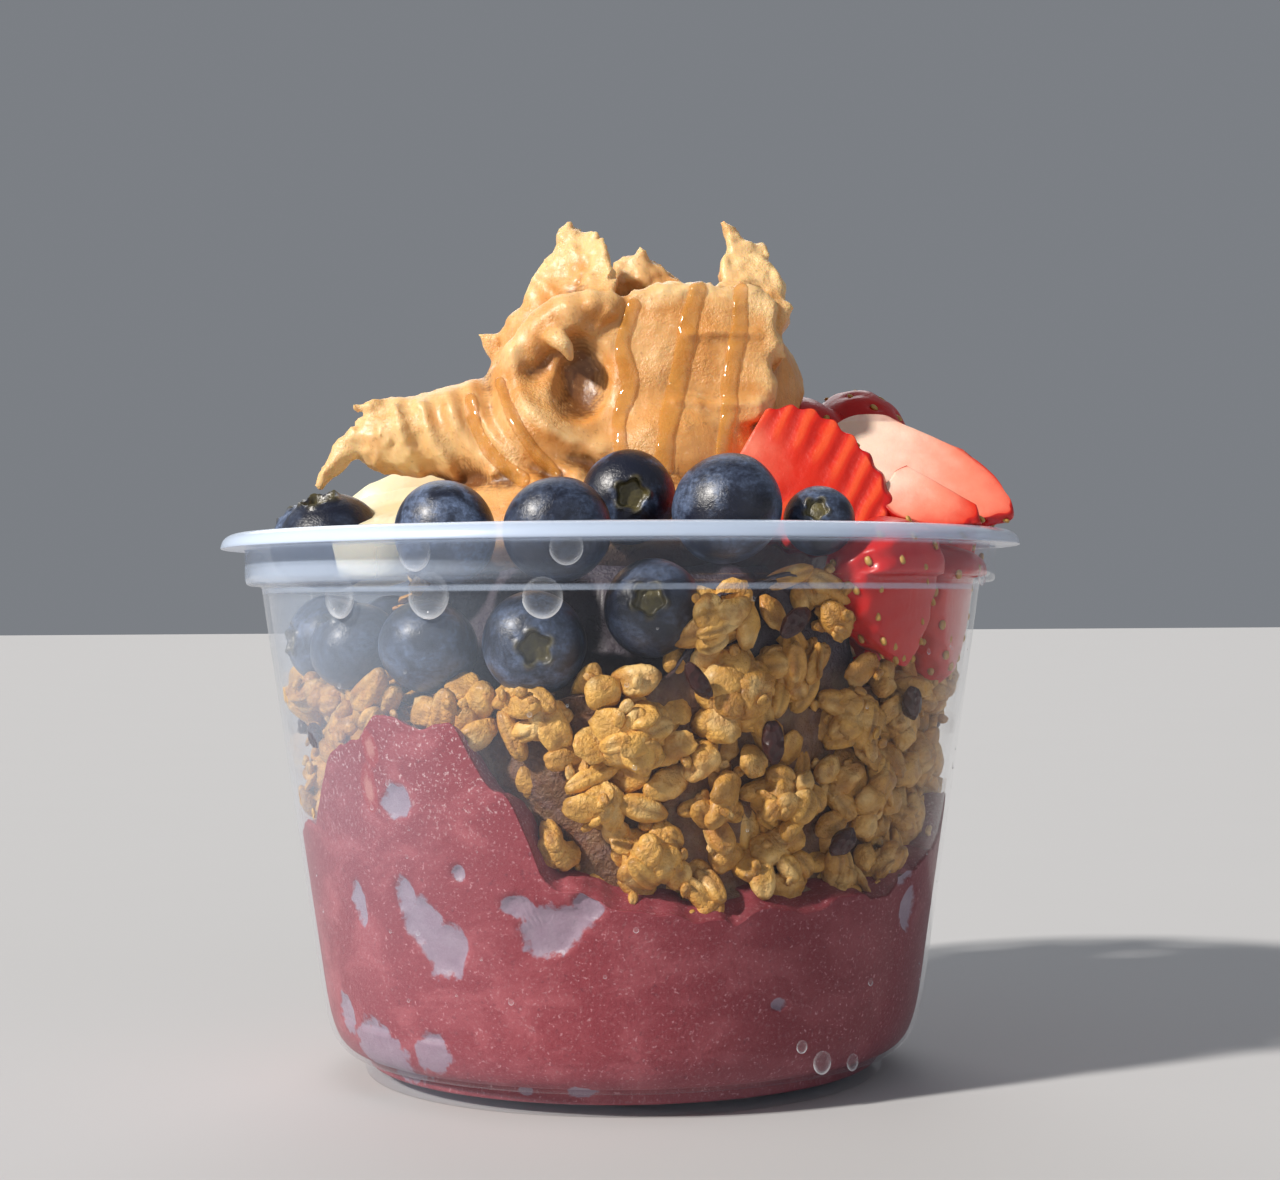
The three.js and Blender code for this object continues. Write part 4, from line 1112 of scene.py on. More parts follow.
def build_granola_core(settings):
    """The heap behind the loose kernels: a bumpy, stepped body from puree to toppings."""
    sides = 300
    degrees = np.arange(sides) * 360 / sides
    low = around(PUREE_LEVEL, degrees)
    high = around(GRANOLA_LEVEL, degrees)
    under = np.linspace(0.02, 0.92, 12)[:, None]
    rise = np.linspace(0, 1, 22)[:, None]
    over = np.concatenate([np.linspace(0.9, GRANOLA_SHELF, 5),
                           np.linspace(GRANOLA_SHELF - 0.03, GRANOLA_SHELF - 0.14, 5),
                           np.linspace(GRANOLA_SHELF - 0.18, 0.02, 12)])[:, None]
    radius = np.concatenate([
        under * inner_radius(low), inner_radius(low + (high - low) * rise) - CORE_BACK,
        over * inner_radius(high)])
    height = np.concatenate([
        puree_top(under, degrees) - 0.2, low + (high - low) * rise - 0.5,
        heap_top(over, high)])
    rings = rings_round(radius, height, sides)
    outside = radius > 20
    gap = stained(degrees, height)
    lumps = noise(rings, 4.0, 3, 2)[..., None]
    rings[len(under):] += lumps[len(under):] * np.array([1.2, 1.2, 0.9])
    rings[..., :2] *= 1 + (gap * outside * GAP_FORWARD)[..., None]
    tone = 0.75 + 0.25 * noise(rings, 3.0, 7, 2)
    values = {"tone": with_poles(tone, 0.8, 0.8),
              "stain": with_poles(np.maximum(gap, 0.15) * outside, 0, 0),
              # Painted shade on the top of the core where the fruit and the mound sit on it.
              "fruit_shade": with_poles(smoothstep(55, 61, height), 0, 1)}
    piece = ring_piece("granola_core", rings, values)
    # The core wears the granola colours darkened to 0.3 as painted shade behind the kernels.
    place(piece, "granola", granola_material(settings, "granola_shade", 0.3), "granola")


# Kinds of kernel: half sizes as shares of a puff's, how far they tip off the wall, how bumpy
# they are, how many templates, and the sides and rows of each.
KERNEL_FORMS = (
    ("granola_puffs", (1, 0.6, 0.56), 0.5, 0.15, 5, 16, 11),
    ("granola_chunks", (0.95, 0.72, 0.6), 0.8, 0.34, 8, 14, 10),
    ("granola_flakes", (1.1, 0.8, 0.26), 0.9, 0.34, 6, 14, 7),
)


def cluster_spots(rng, number, half):
    """Kernels packed round the middles of clusters: place, outward direction and tone."""
    tries, out = band_spots(rng, 6000, 4.2, 5.6)
    kept = thinned(tries, 9.6)[:number]
    spots, outward, tones = [], [], []
    for centre, away in zip(tries[kept], out[kept]):
        inside = rng.integers(11, 18)
        shell = unit(rng.normal(size=(inside, 3)))
        squash = 1 - 0.35 * np.abs(shell @ away)[:, None]
        reach = rng.uniform(0.75, 1.0, (inside, 1)) * rng.uniform(1.15, 1.7) * half
        spots.append(centre + shell * reach * squash)
        outward.append(unit(shell + away))
        tones.append(np.clip(rng.beta(2, 3) + rng.normal(0, 0.16, inside), 0, 1))
    return np.concatenate(spots), np.concatenate(outward), np.concatenate(tones)


def build_granola(settings):
    """Kernels in clusters, between them and on top, shared out as puffs, chunks and flakes."""
    rng = np.random.default_rng(17)
    fruit = fruit_balls()
    half = settings.kernel_length / MM / 2
    spots, outward, tones = cluster_spots(rng, settings.clusters, half)
    tries, out = band_spots(rng, 7000, 3.4, 7.0)
    kept = thinned(tries, half * 1.3)[: settings.loose]
    spots = np.concatenate([spots, tries[kept]])
    outward = np.concatenate([outward, out[kept]])
    tones = np.concatenate([tones, rng.beta(1.8, 2.6, len(kept))])
    keep = in_band(spots, fruit, rng)
    above, up = top_spots(rng, settings.strewn, fruit)
    spots = np.concatenate([spots[keep], above])
    outward = np.concatenate([outward[keep], up])
    tones = np.concatenate([tones[keep], rng.beta(1.8, 2.6, len(above))])
    order = rng.permutation(len(spots))
    shares = np.split(order, [int(len(order) * 0.42), int(len(order) * 0.76)])
    material = granola_material(settings, "toasted_kernels")
    for (name, size, *form), pick in zip(KERNEL_FORMS, shares):
        piece = scatter(name, rng, spots[pick], outward[pick], tones[pick],
                        tuple(half * part for part in size), *form)
        place(piece, "granola", material, "granola")
    pick = rng.integers(0, len(spots), settings.crumbs)
    crumbs = spots[pick] + unit(rng.normal(size=(len(pick), 3))) * half * 0.8
    piece = scatter("granola_crumbs", rng, crumbs, outward[pick], rng.beta(2, 2, len(pick)),
                    (half * 0.34, half * 0.26, half * 0.2), 0.9, 0.34, 4, 8, 6)
    place(piece, "granola", material, "granola")
    build_raisins(rng)


def build_raisins(rng):
    """A few dark dried fruits pressed to the wall among the kernels."""
    degrees, z = np.array(RAISINS, float).T
    out = outward_at(degrees)
    spots = at_wall(out, inner_radius(z) - 0.9, z)
    piece = scatter("granola_raisins", rng, spots, out, 0 * z, (2.7, 1.6, 1.3), 0.3, 0.26, 3, 16, 12)
    place(piece, "granola", raisin_material(), "granola")


# ---------------------------------------------------------------- blueberries


def berry_surface(radius, seed):
    """Radius over a ball, flattened towards a star-shaped crown with a sunken floor.

    In shares of the radius, the crown's lip is a ring of five points at 0.34 from the axis,
    raised where a sepal stands, and the floor inside it lies 0.16 deep.
    """
    sides, rows = 72, 56
    a = turn_of(sides)
    t = (np.linspace(0, 1, rows + 2)[1:-1] ** 1.35 * np.pi)[::-1][:, None]
    ball = np.stack([np.sin(t) * np.cos(a), np.sin(t) * np.sin(a), 0.9 * np.cos(t) + 0 * a], -1)
    off = np.sin(t) + 0 * a
    star = 0.34 * (1 + 0.1 * np.cos(5 * a + seed))
    near = t < np.pi / 2
    floor = smoothstep(1.0, 0.72, off / star) * near
    lip = np.exp(-(((off - star) / 0.05) ** 2)) * near * (0.5 + 0.5 * np.cos(5 * a + seed))
    lump = 1 + 0.025 * noise(ball, 0.8, seed, 2)
    points = ball * lump[..., None]
    points[..., 2] += -0.17 * floor + 0.075 * lip
    crown = np.clip(floor + 0.8 * lip, 0, 1)
    return points * radius, crown


def build_berries(settings):
    """A skin in each blueberry's box, turned to its crown, dustier or barer from one to the next."""
    material = berry_material(settings)
    for i, name in enumerate(nodes_named("blueberry")):
        low, high = node_box(name)
        centre = (low + high) / 2
        radius = float(np.mean(np.sort(high - low)[1:])) / 2 + 0.1
        rings, crown = berry_surface(radius, i + 1)
        rings = rings @ turned_to(CROWNS[i], 0.7 * i).T + centre
        dusty = 0.25 if i == 0 else 0.72 + 0.28 * math.sin(2.4 * i)
        values = {"crown": with_poles(crown), "dusty": np.full(crown.size + 2, dusty)}
        place(ring_piece(f"{name}_skin", rings, values), "blueberry", material, name)


# ---------------------------------------------------------------- strawberries


def strawberry_radius(t):
    """Radius as a share of the widest, from the leaf end (0) to the tip (1)."""
    return np.sin(np.pi * np.clip(t, 0, 1) ** 0.66) ** 0.72


def seed_seats(long, radius):
    """Seats of the seeds on the skin: a golden-angle spiral, (share of length, angle)."""
    number = int(7.2 * long * radius / 26)
    k = np.arange(number) + 0.5
    return 0.06 + 0.9 * k / number, np.mod(k * GOLDEN_ANGLE, 2 * np.pi)


def flute_phase(along, long):
    """Where each flute stands along the body, in radians: even, with a slow drift."""
    return along * long * 2.1 + 1.3 * np.sin(7 * along)


def cut_faces(points, cuts):
    """Points beyond a cut face are moved straight back onto it; also how far they moved."""
    moved = np.zeros(points.shape[:-1])
    for direction, distance in cuts:
        n = unit(direction)
        beyond = np.maximum(points @ n - distance, 0)
        points = points - beyond[..., None] * n
        moved = np.maximum(moved, beyond)
    return points, moved


def strawberry_rings(long, radius, cuts, tip, flute):
    """A body turned about its axis, fluted and dimpled at each seed, then cut; local to its middle."""
    sides, rows = 120, 84
    a = turn_of(sides)
    t = np.linspace(0, 1, rows + 2)[1:-1][:, None]
    seats_t, seats_a = seed_seats(long, radius)
    widest = strawberry_radius(t) * radius * (1 + flute * np.cos(flute_phase(t, long)))
    dimple = np.zeros((rows, sides))
    for st, sa in zip(seats_t, seats_a):
        across = (np.mod(a - sa + np.pi, 2 * np.pi) - np.pi) * widest
        dimple += np.exp(-(across ** 2 + ((t - st) * long * 0.8) ** 2) / 0.75)
    r = widest - 0.6 * np.clip(dimple, 0, 1)
    local = np.stack([r * np.cos(a), r * np.sin(a), (t - MIDDLE_SHARE) * long + 0 * a], -1)
    points = local @ turned_to(tip).T
    points, moved = cut_faces(points, cuts)
    back = points @ turned_to(tip)
    along = np.clip(back[..., 2] / long + MIDDLE_SHARE, 0, 1)
    here = strawberry_radius(along) * radius
    out = np.hypot(back[..., 0], back[..., 1]) / np.maximum(here, 0.5)
    wander = noise(points, 4.0, 33, 2)
    phase = flute_phase(along, long) - (1 - out) * 1.5 + 1.2 * wander
    fibre = 0.5 + (0.1 + 11 * flute) * np.cos(phase)
    return points, moved, np.clip(out, 0, 1.1), fibre * smoothstep(0.15, 0.5, out), along


def build_strawberries(settings):
    """Each piece's flesh, lumpy and pressed inside the tub, and all seeds as one mesh."""
    material = strawberry_material(settings)
    seeds_at, seeds_turn = [], []
    for name, (at, long, radius, tip, cuts), ripe, flute in zip(
            nodes_named("strawberry"), STRAWBERRIES, RIPENESS, FLUTES):
        rings, moved, out, fibre, along = strawberry_rings(long, radius, cuts, tip, flute)
        lump = noise(rings + np.array(at), 5.0, 9, 2)[..., None] * 0.35
        rings = in_room(rings * (1 + lump / radius) + np.array(at))
        values = {"cut": with_poles(moved), "outward": with_poles(out), "fibre": with_poles(fibre),
                  "ripe": with_poles(ripe + 0.9 * along)}
        place(ring_piece(f"{name}_flesh", rings, values), "strawberry", material, name)
        places, turns = seeds_on(at, long, radius, tip, cuts)
        seeds_at.append(places)
        seeds_turn.append(turns)
    template, faces = pebble(8, 5, (0.75, 0.48, 0.36), 2, 0.05)
    points, tris = copies(template, faces, np.concatenate(seeds_turn), np.concatenate(seeds_at))
    seeds = make_piece("strawberry_seeds", points.reshape(-1, 3), tris=tris)
    place(seeds, "strawberry", seed_material(settings))


def in_room(points):
    """Fruit pressed softly inside the wall below the rim, and inside the rim's width above it."""
    r = np.hypot(points[..., 0], points[..., 1])
    inside = inner_radius(np.minimum(points[..., 2], RIM_HEIGHT - 0.6)) - 0.05
    limit = np.where(points[..., 2] < RIM_HEIGHT + 0.1, inside, RIM_RADIUS - 0.1)
    soft = limit - 0.7 * np.logaddexp(0, (limit - r) / 0.7)
    squeeze = np.minimum(1, soft / np.maximum(r, 1e-6))
    return points * np.stack([squeeze, squeeze, np.ones_like(squeeze)], -1)


def seeds_on(at, long, radius, tip, cuts):
    """Places and turns of the seeds that are left on the skin after the cuts."""
    seats_t, seats_a = seed_seats(long, radius)
    r = strawberry_radius(seats_t) * radius - 0.33
    out = np.stack([np.cos(seats_a), np.sin(seats_a), 0 * seats_a], -1)
    local = out * r[:, None]
    local[:, 2] = (seats_t - MIDDLE_SHARE) * long
    basis = turned_to(tip)
    points, normals = local @ basis.T, out @ basis.T
    keep = np.ones(len(points), bool)
    for direction, distance in cuts:
        keep &= points @ unit(direction) < distance - 0.5
    where = points + np.array(at)
    r = np.hypot(where[:, 0], where[:, 1])
    wall = inner_radius(np.minimum(where[:, 2], RIM_HEIGHT - 0.6)) - 0.3
    under = where[:, 2] < RIM_HEIGHT + 0.1
    keep &= ~under | (r < wall + 3.2)
    where[:, :2] *= np.where(under, np.minimum(1, wall / r), 1)[:, None]
    keep &= r < RIM_RADIUS - 0.8
    side = unit(np.cross(normals, unit(tip)))
    turns = np.stack([np.cross(side, normals), side, normals], axis=2)
    return where[keep], turns[keep]


# ---------------------------------------------------------------- banana


def build_bananas(settings):
    """Slices: rings run out over one face, round the soft edge and back over the other."""
    material = banana_material(settings)
    a = turn_of(96)
    for i, (name, (at, radius, thick, face)) in enumerate(zip(nodes_named("banana"), BANANAS)):
        half = thick / 2
        steps = np.linspace(0.03, 0.9, 22)
        turn = np.linspace(0, np.pi, 13)[1:-1]
        reach = np.concatenate([steps, 0.93 + 0.07 * np.sin(turn), steps[::-1]])[:, None]
        height = np.concatenate([-half + 0 * steps, -half * np.cos(turn), half + 0 * steps])[:, None]
        outline = radius * (1 + 0.025 * np.cos(3 * a + i) + 0.012 * np.cos(7 * a + 2 * i))
        sunk = 0.35 * np.exp(-((reach / 0.3) ** 2)) + 0.1 * reach ** 3
        z = height - np.sign(height) * sunk
        rings = np.stack([reach * outline * np.cos(a), reach * outline * np.sin(a), z + 0 * a], -1)
        rings += noise(rings, 2.0, 40 + i, 2)[..., None] * np.array([0.12, 0.12, 0.18])
        fibre = (0.5 + 0.5 * np.cos(a * 30)) * smoothstep(0.3, 0.45, reach) * (1 - reach)
        rings = in_room(rings @ turned_to(face).T + np.array(at))
        values = {"outward": with_poles(reach + 0 * a, 0, 0), "fibre": with_poles(fibre, 0, 0)}
        place(ring_piece(f"{name}_slice", rings, values), "banana", material, name)


# ---------------------------------------------------------------- peanut butter and honey


def smooth_union(a, b, k):
    """The smaller of two distances, blended over k where they are near each other."""
    h = np.clip(0.5 + 0.5 * (b - a) / k, 0, 1)
    return b + (a - b) * h - k * h * (1 - h)


def smooth_cut(a, b, k):
    """The larger of two distances, blended over k where they are near each other."""
    return -smooth_union(-a, -b, k)


def lobe_distance(p, at, half, turn):
    """Near distance to an ellipsoid turned about Y: scaled length times its own gradient."""
    a = math.radians(turn)
    q = p - np.array(at, np.float32)
    x = q[..., 0] * math.cos(a) - q[..., 2] * math.sin(a)
    z = q[..., 0] * math.sin(a) + q[..., 2] * math.cos(a)
    q = np.stack([x, q[..., 1], z], -1) / np.array(half, np.float32)
    k0 = np.sqrt(np.sum(q * q, -1)) + 1e-6
    k1 = np.sqrt(np.sum((q / np.array(half, np.float32)) ** 2, -1)) + 1e-6
    return k0 * (k0 - 1) / k1


def line_gap(x, z, a, b):
    """Distance on a plane from grid points to the straight line between two points."""
    ex, ez, px, pz = b[0] - a[0], b[1] - a[1], x - a[0], z - a[1]
    t = np.clip((px * ex + pz * ez) / (ex * ex + ez * ez), 0, 1)
    return np.hypot(px - t * ex, pz - t * ez)


def outline_distance(x, z, outline):
    """Signed distance on a plane to a closed outline: negative inside, by crossing count."""
    best = np.full(x.shape, 99.0, np.float32)
    inside = np.zeros(x.shape, bool)
    corners = np.array(outline, np.float32)
    for a, b in zip(corners, np.roll(corners, -1, axis=0)):
        best = np.minimum(best, line_gap(x, z, a, b))
        if a[1] != b[1]:
            crossing = (b[0] - a[0]) * (z - a[1]) / (b[1] - a[1]) + a[0]
            inside ^= ((a[1] > z) != (b[1] > z)) & (x < crossing)
    return np.where(inside, -best, best)


def plate_distance(p, outline, at, slopes, thick):
    """Distance to a leaning sheet: its torn outline cut by a slab that thins towards the top."""
    x, z = p[:, 0, :, 0], p[:, 0, :, 2]
    flat = np.stack([x, 0 * x, z], -1).astype(float)
    edge = outline_distance(x, z, outline) + 0.55 * noise(flat, 2.2, 71, 3).astype(np.float32)
    low, high = min(c[1] for c in outline), max(c[1] for c in outline)
    t = np.clip((z - low) / (high - low), 0, 1)
    half = thick[0] + (thick[1] - thick[0]) * t
    middle = at[1] + slopes[0] * (x - at[0]) + slopes[1] * (z - at[2])
    wave = 0.7 * noise(flat, 6.0, 72, 2).astype(np.float32)
    slab = np.abs(p[..., 1] - (middle + wave)[:, None, :]) / math.hypot(1, *slopes)
    slab = slab - half[:, None, :]
    return smooth_cut(np.broadcast_to(edge[:, None, :], slab.shape), slab, 1.6)


def spline(points, steps):
    """Points along a Catmull-Rom curve through the given points, by steps to a span."""
    p = np.array(points, float)
    p = np.concatenate([2 * p[:1] - p[1:2], p, 2 * p[-1:] - p[-2:-1]])
    t = np.linspace(0, 1, steps, endpoint=False)[:, None]
    out = []
    for a, b, c, d in zip(p[:-3], p[1:-2], p[2:-1], p[3:]):
        out.append(0.5 * (2 * b + (c - a) * t + (2 * a - 5 * b + 4 * c - d) * t ** 2
                          + (3 * b - a - 3 * c + d) * t ** 3))
    return np.concatenate(out + [p[-2:-1]])


def strand_distance(p, stations, steps=3):
    """Distance to a chain of capsules whose radius runs from station to station."""
    path = spline(stations, steps).astype(np.float32)
    best = np.full(p.shape[:-1], 99.0, np.float32)
    for a, b in zip(path[:-1], path[1:]):
        ab, ap = b[:3] - a[:3], p - a[:3]
        t = np.clip(ap @ ab / (ab @ ab), 0, 1)
        d = np.sqrt(np.sum((ap - t[..., None] * ab) ** 2, -1)) - (a[3] + (b[3] - a[3]) * t)
        best = np.minimum(best, d)
    return best


def line_distance(x, z, path):
    """Distance on the front's plane to a curve through the given (x, z) points."""
    line = spline(path, 6).astype(np.float32)
    best = np.full(x.shape, 99.0, np.float32)
    for a, b in zip(line[:-1], line[1:]):
        best = np.minimum(best, line_gap(x, z, a, b))
    return best


def part_of(axes, low, high, margin=4.0):
    """The part of a grid that lies within a margin of a box, as three slices."""
    return tuple(slice(*np.searchsorted(axis, [a - margin, b + margin]))
                 for axis, a, b in zip(axes, low, high))


def strand_box(stations):
    """Lowest and highest corner of a chain of balls (x, y, z, radius)."""
    s = np.array(stations, float)
    return (s[:, :3] - s[:, 3:]).min(0), (s[:, :3] + s[:, 3:]).max(0)


def plate_box(outline, at, slopes, thick):
    """Lowest and highest corner of a leaning plate."""
    x, z = np.array(outline, float).T
    y = at[1] + slopes[0] * (x - at[0]) + slopes[1] * (z - at[2])
    wide = thick[0] * math.hypot(1, *slopes)
    return (x.min(), y.min() - wide, z.min()), (x.max(), y.max() + wide, z.max())


def butter_distance(p, axes):
    """Distance to the mound: lobes, plates and strands blended, and hollows scooped out."""
    d = lobe_distance(p, *BUTTER_LOBES[0])
    for lobe in BUTTER_LOBES[1:]:
        d = smooth_union(d, lobe_distance(p, *lobe), 2.0)
    for plate in BUTTER_PLATES:
        at = part_of(axes, *plate_box(*plate))
        d[at] = smooth_union(d[at], plate_distance(p[at], *plate), 1.1)
    for stations in BUTTER_STRANDS:
        at = part_of(axes, *strand_box(stations))
        d[at] = smooth_union(d[at], strand_distance(p[at], stations), 1.3)
    for centre, half in BUTTER_HOLLOWS:
        c, h = np.array(centre, float), np.array(half, float)
        at = part_of(axes, c - h, c + h)
        d[at] = smooth_cut(d[at], -lobe_distance(p[at], centre, half, 0), 0.9)
    at = part_of(axes, *strand_box(BUTTER_CURL))
    d[at] = smooth_union(d[at], strand_distance(p[at], BUTTER_CURL), 0.7)
    return d


def ridge_height(axes):
    """Height of the ridges drawn on the front, one value for each (x, z) of the grid."""
    x, z = np.meshgrid(axes[0], axes[2], indexing="ij")
    height = np.zeros(x.shape, np.float32)
    for path, half, tall in BUTTER_RIDGES:
        height += tall * np.exp(-((line_distance(x, z, path) / half) ** 2))
    return height


def butter_relief(p, d, ridges):
    """Folds and roughness of the spread, only worked out near its surface."""
    near = np.abs(d) < 2.6
    q = p[near].astype(float)
    x, y, z = q.T
    drawn = np.broadcast_to(ridges[:, None, :], d.shape)[near]
    front = smoothstep(-2, -8, y)
    back = 1 - front
    fold = np.sin(0.95 * (0.7 * z + 0.5 * x - 0.35 * y) + 2.2 * noise(q, 13.0, 51))
    soft = noise(q, 7.0, 52, 2)
    torn = np.abs(noise(q, 2.6, 53, 2))
    high = np.maximum(smoothstep(108, 118, z), smoothstep(-25, -31, x))
    change = 0.35 * soft + 0.45 * fold * back - drawn * front
    change += (0.25 + 0.6 * high) * (torn - 0.3) + (0.1 + 0.3 * high) * noise(q, 1.1, 54)
    out = d.copy()
    out[near] += change.astype(np.float32)
    return out


def honey_distance(p, d, axes):
    """Distance to the honey: a thin coat over the mound where a trickle runs down its front."""
    x, z = np.meshgrid(axes[0], axes[2], indexing="ij")
    flat = np.stack([x, 0 * x, z], -1).astype(float)
    wobble = (1 + 0.28 * noise(flat, 3.4, 81, 2)).astype(np.float32)
    aside = np.full(x.shape, 99.0, np.float32)
    for path, half in HONEY:
        aside = np.minimum(aside, line_distance(x, z, path) / (half * wobble))
    aside = np.maximum(aside - 0.25, 0)[:, None, :]
    coat = np.hypot(aside, (d + 0.1) / HONEY_THICK) - 1
    return np.maximum(coat * HONEY_THICK, (p[..., 1] + 4) * 0.5)


def surface_of(name, distance, low, step):
    """Closed mesh where a grid of distances passes through zero."""
    grid = openvdb.FloatGrid(5.0)
    grid.copyFromArray(np.clip(distance, -3, 3).astype(np.float32))
    points, quads = grid.convertToQuads(isovalue=0.0)
    return make_piece(name, points * step + low, quads)


def buried(distance, reach):
    """Share of solid in a cube round each grid point, from running sums along each axis."""
    share_in = (distance < 0).astype(np.float32)
    for axis in range(3):
        pad = [(reach + 1, reach) if i == axis else (0, 0) for i in range(3)]
        total = np.cumsum(np.pad(share_in, pad, mode="edge"), axis=axis, dtype=np.float32)
        n = share_in.shape[axis]
        ahead = np.take(total, np.arange(n) + 2 * reach + 1, axis=axis)
        share_in = (ahead - np.take(total, np.arange(n), axis=axis)) / (2 * reach + 1)
    return share_in


def seated(p, d, axes, low, high):
    """The mound hollowed where the berries press into it, and cut at its foot and top."""
    for name in nodes_named("blueberry"):
        a, b = node_box(name)
        at = part_of(axes, a, b)
        ball = np.sqrt(np.sum((p[at] - ((a + b) / 2).astype(np.float32)) ** 2, -1))
        d[at] = np.maximum(d[at], float(np.max(b - a)) / 2 + 0.15 - ball)
    d = np.maximum(d, low - p[..., 2])
    return np.maximum(d, p[..., 2] - high + 0.1)


def butter_tones(mesh, mound, start, step):
    """How thin and how hollow the mound is at each point, from the share of solid round it; the
    ridge value is raised on the top and the left wing for painted light, and the hollow value sets
    painted shade.
    """
    co = np.empty(len(mesh.vertices) * 3, np.float32)
    mesh.vertices.foreach_get("co", co)
    q = co.reshape(-1, 3).astype(float) / MM
    i, j, k = np.clip(np.rint((q - start) / step).astype(int), 0, np.array(mound.shape) - 1).T
    filled = buried(mound, int(round(4.0 / step)))[i, j, k]
    # Painted light: the top and the left wing are counted as thin, so that they come out paler.
    lit_tips = np.maximum(smoothstep(104, 117, q[:, 2]), smoothstep(-10, -24, q[:, 0]))
    thin = 0.5 * lit_tips + smoothstep(0.46, 0.28, filled)
    return {"ridge": np.clip(0.04 + 0.9 * noise(q, 5.0, 61, 3) + 0.7 * thin, 0, 1),
            "hollow": smoothstep(0.52, 0.68, filled)}


def build_butter(settings):
    """The mound and the honey's thin coat, as the zero surfaces of distances on one grid."""
    step = settings.voxel / MM
    low, high = node_box("peanut_butter")
    axes = [np.arange(a - 2.5, b + 2.5, step, dtype=np.float32) for a, b in zip(low, high)]
    p = np.stack(np.meshgrid(*axes, indexing="ij"), -1)
    mound = butter_relief(p, butter_distance(p, axes), ridge_height(axes))
    mound = seated(p, mound, axes, low[2], high[2])
    start = np.array([axis[0] for axis in axes])
    butter = surface_of("peanut_butter_mound", mound, start, step)
    set_values(butter.data, butter_tones(butter.data, mound, start, step))
    place(butter, "peanut_butter", butter_material(settings), "peanut_butter")
    honey = surface_of("honey_trickle", honey_distance(p, mound, axes), start, step)
    place(honey, "peanut_butter", honey_material(settings), "peanut_butter")


# ---------------------------------------------------------------- dew


def drop_template(sides=28, rows=13):
    """A flat dome lying on the wall, closed underneath, with its edge marked for a painted highlight.
    """
    points, faces = pebble(sides, rows, (1, 1, 0.34), 3, 0.02)
    away = np.clip(np.hypot(points[:, 0], points[:, 1]), 0, 1) ** 9
    # Painted highlight: strongest at the rim and brightest along its lower side.
    return points, faces, away * (0.25 + 0.75 * smoothstep(0.4, -0.5, points[:, 1]))


def build_dew():
    """Drops on the wall: a few large clear ones under the rim, and scattered fine ones."""
    rng = np.random.default_rng(5)
    fine = 90
    degrees, z, size = np.array(DROPS, float).T
    degrees = np.concatenate([degrees, rng.uniform(-180, 180, fine)])
    z = np.concatenate([z, rng.uniform(14, 69, fine)])
    size = np.concatenate([size, rng.gamma(2.0, 0.07, fine) + 0.12])
    out = outward_at(degrees)
    skin = np.where(z > COLLAR_BOTTOM, COLLAR_RADIUS, wall_radius(z)) - 0.05
    spots = at_wall(out, skin, z)
    side = np.cross(UP, out)
    frames = np.stack([side, np.cross(out, side), out], axis=2) * size[:, None, None]
    template, faces, edge = drop_template()
    points, tris = copies(template, faces, frames, spots)
    piece = make_piece("dew_drops", points.reshape(-1, 3), tris=tris,
                       values={"edge": np.tile(edge, len(spots))})
    place(piece, "tub", dew_material())


# ---------------------------------------------------------------- stage


def add_light(name, at, power, tint, spread):
    """A sun that shines from a place towards the middle of the tub, spread over some degrees."""
    data = bpy.data.lights.new(name, "SUN")
    data.energy, data.color, data.angle = power, tint, math.radians(spread)
    light = bpy.data.objects.new(name, data)
    light.location = at
    light.rotation_euler = look_along(Vector(LIT_POINT) - Vector(at))
    bpy.context.scene.collection.objects.link(light)


def look_along(aim, roll=0.0):
    """Rotation of a light or camera that looks along a direction, level but for its roll."""
    turn = aim.to_track_quat("-Z", "Y").to_matrix()
    return (turn @ Matrix.Rotation(roll, 3, "Z")).to_euler()


# Camera: place in metres, pitch and roll in radians, lens and sensor in millimetres. The lights
# shine at the lit point, and the room round the tub gives an even light.
CAMERA_AT = (0.00283, -0.340, 0.0675)
CAMERA_PITCH, CAMERA_ROLL = 0.0075, -0.0064
CAMERA_LENS, SENSOR = 64.15, 36.0
LIT_POINT = (0, 0, 0.06)
ROOM_COLOUR, ROOM_STRENGTH = (0.8, 0.85, 0.93, 1), 0.25

# Lights: place, strength as a share of the key light's, colour, and spread in degrees.
LIGHTS = {
    "key": ((-0.76, -0.52, 0.68), 1.0, (1.0, 0.95, 0.88), 4),
    "fill": ((0.5, -0.8, 0.5), 0.05, (0.9, 0.95, 1.0), 50),
    "back": ((-0.1, 0.8, 0.6), 0.14, (1, 1, 1), 40),
}


def build_stage(settings):
    """A pale floor, an even room light, three soft suns and the camera."""
    scene = bpy.context.scene
    half = 6.0
    points = np.array([(-half, -half, 0), (half, -half, 0), (half, half, 0), (-half, half, 0)])
    floor = make_piece("floor", points / MM - np.array([0, 0, 0.05]), np.array([[0, 1, 2, 3]]))
    floor.data.materials.append(stage_material(settings.floor))
    world = bpy.data.worlds.new("pale_room")
    world.use_nodes = True
    room = world.node_tree.nodes["Background"].inputs
    room["Color"].default_value, room["Strength"].default_value = ROOM_COLOUR, ROOM_STRENGTH
    scene.world = world
    for name, (at, part, tint, spread) in LIGHTS.items():
        add_light(name, at, settings.key * part, tint, spread)
    data = bpy.data.cameras.new("camera")
    data.lens, data.sensor_width = CAMERA_LENS, SENSOR
    data.clip_start = 0.02
    camera = bpy.data.objects.new("camera", data)
    camera.location = CAMERA_AT
    aim = Vector((0, math.cos(CAMERA_PITCH), math.sin(CAMERA_PITCH)))
    camera.rotation_euler = look_along(aim, CAMERA_ROLL)
    scene.collection.objects.link(camera)
    scene.camera = camera
    scene.view_settings.view_transform = "Standard"


# ---------------------------------------------------------------- add-on


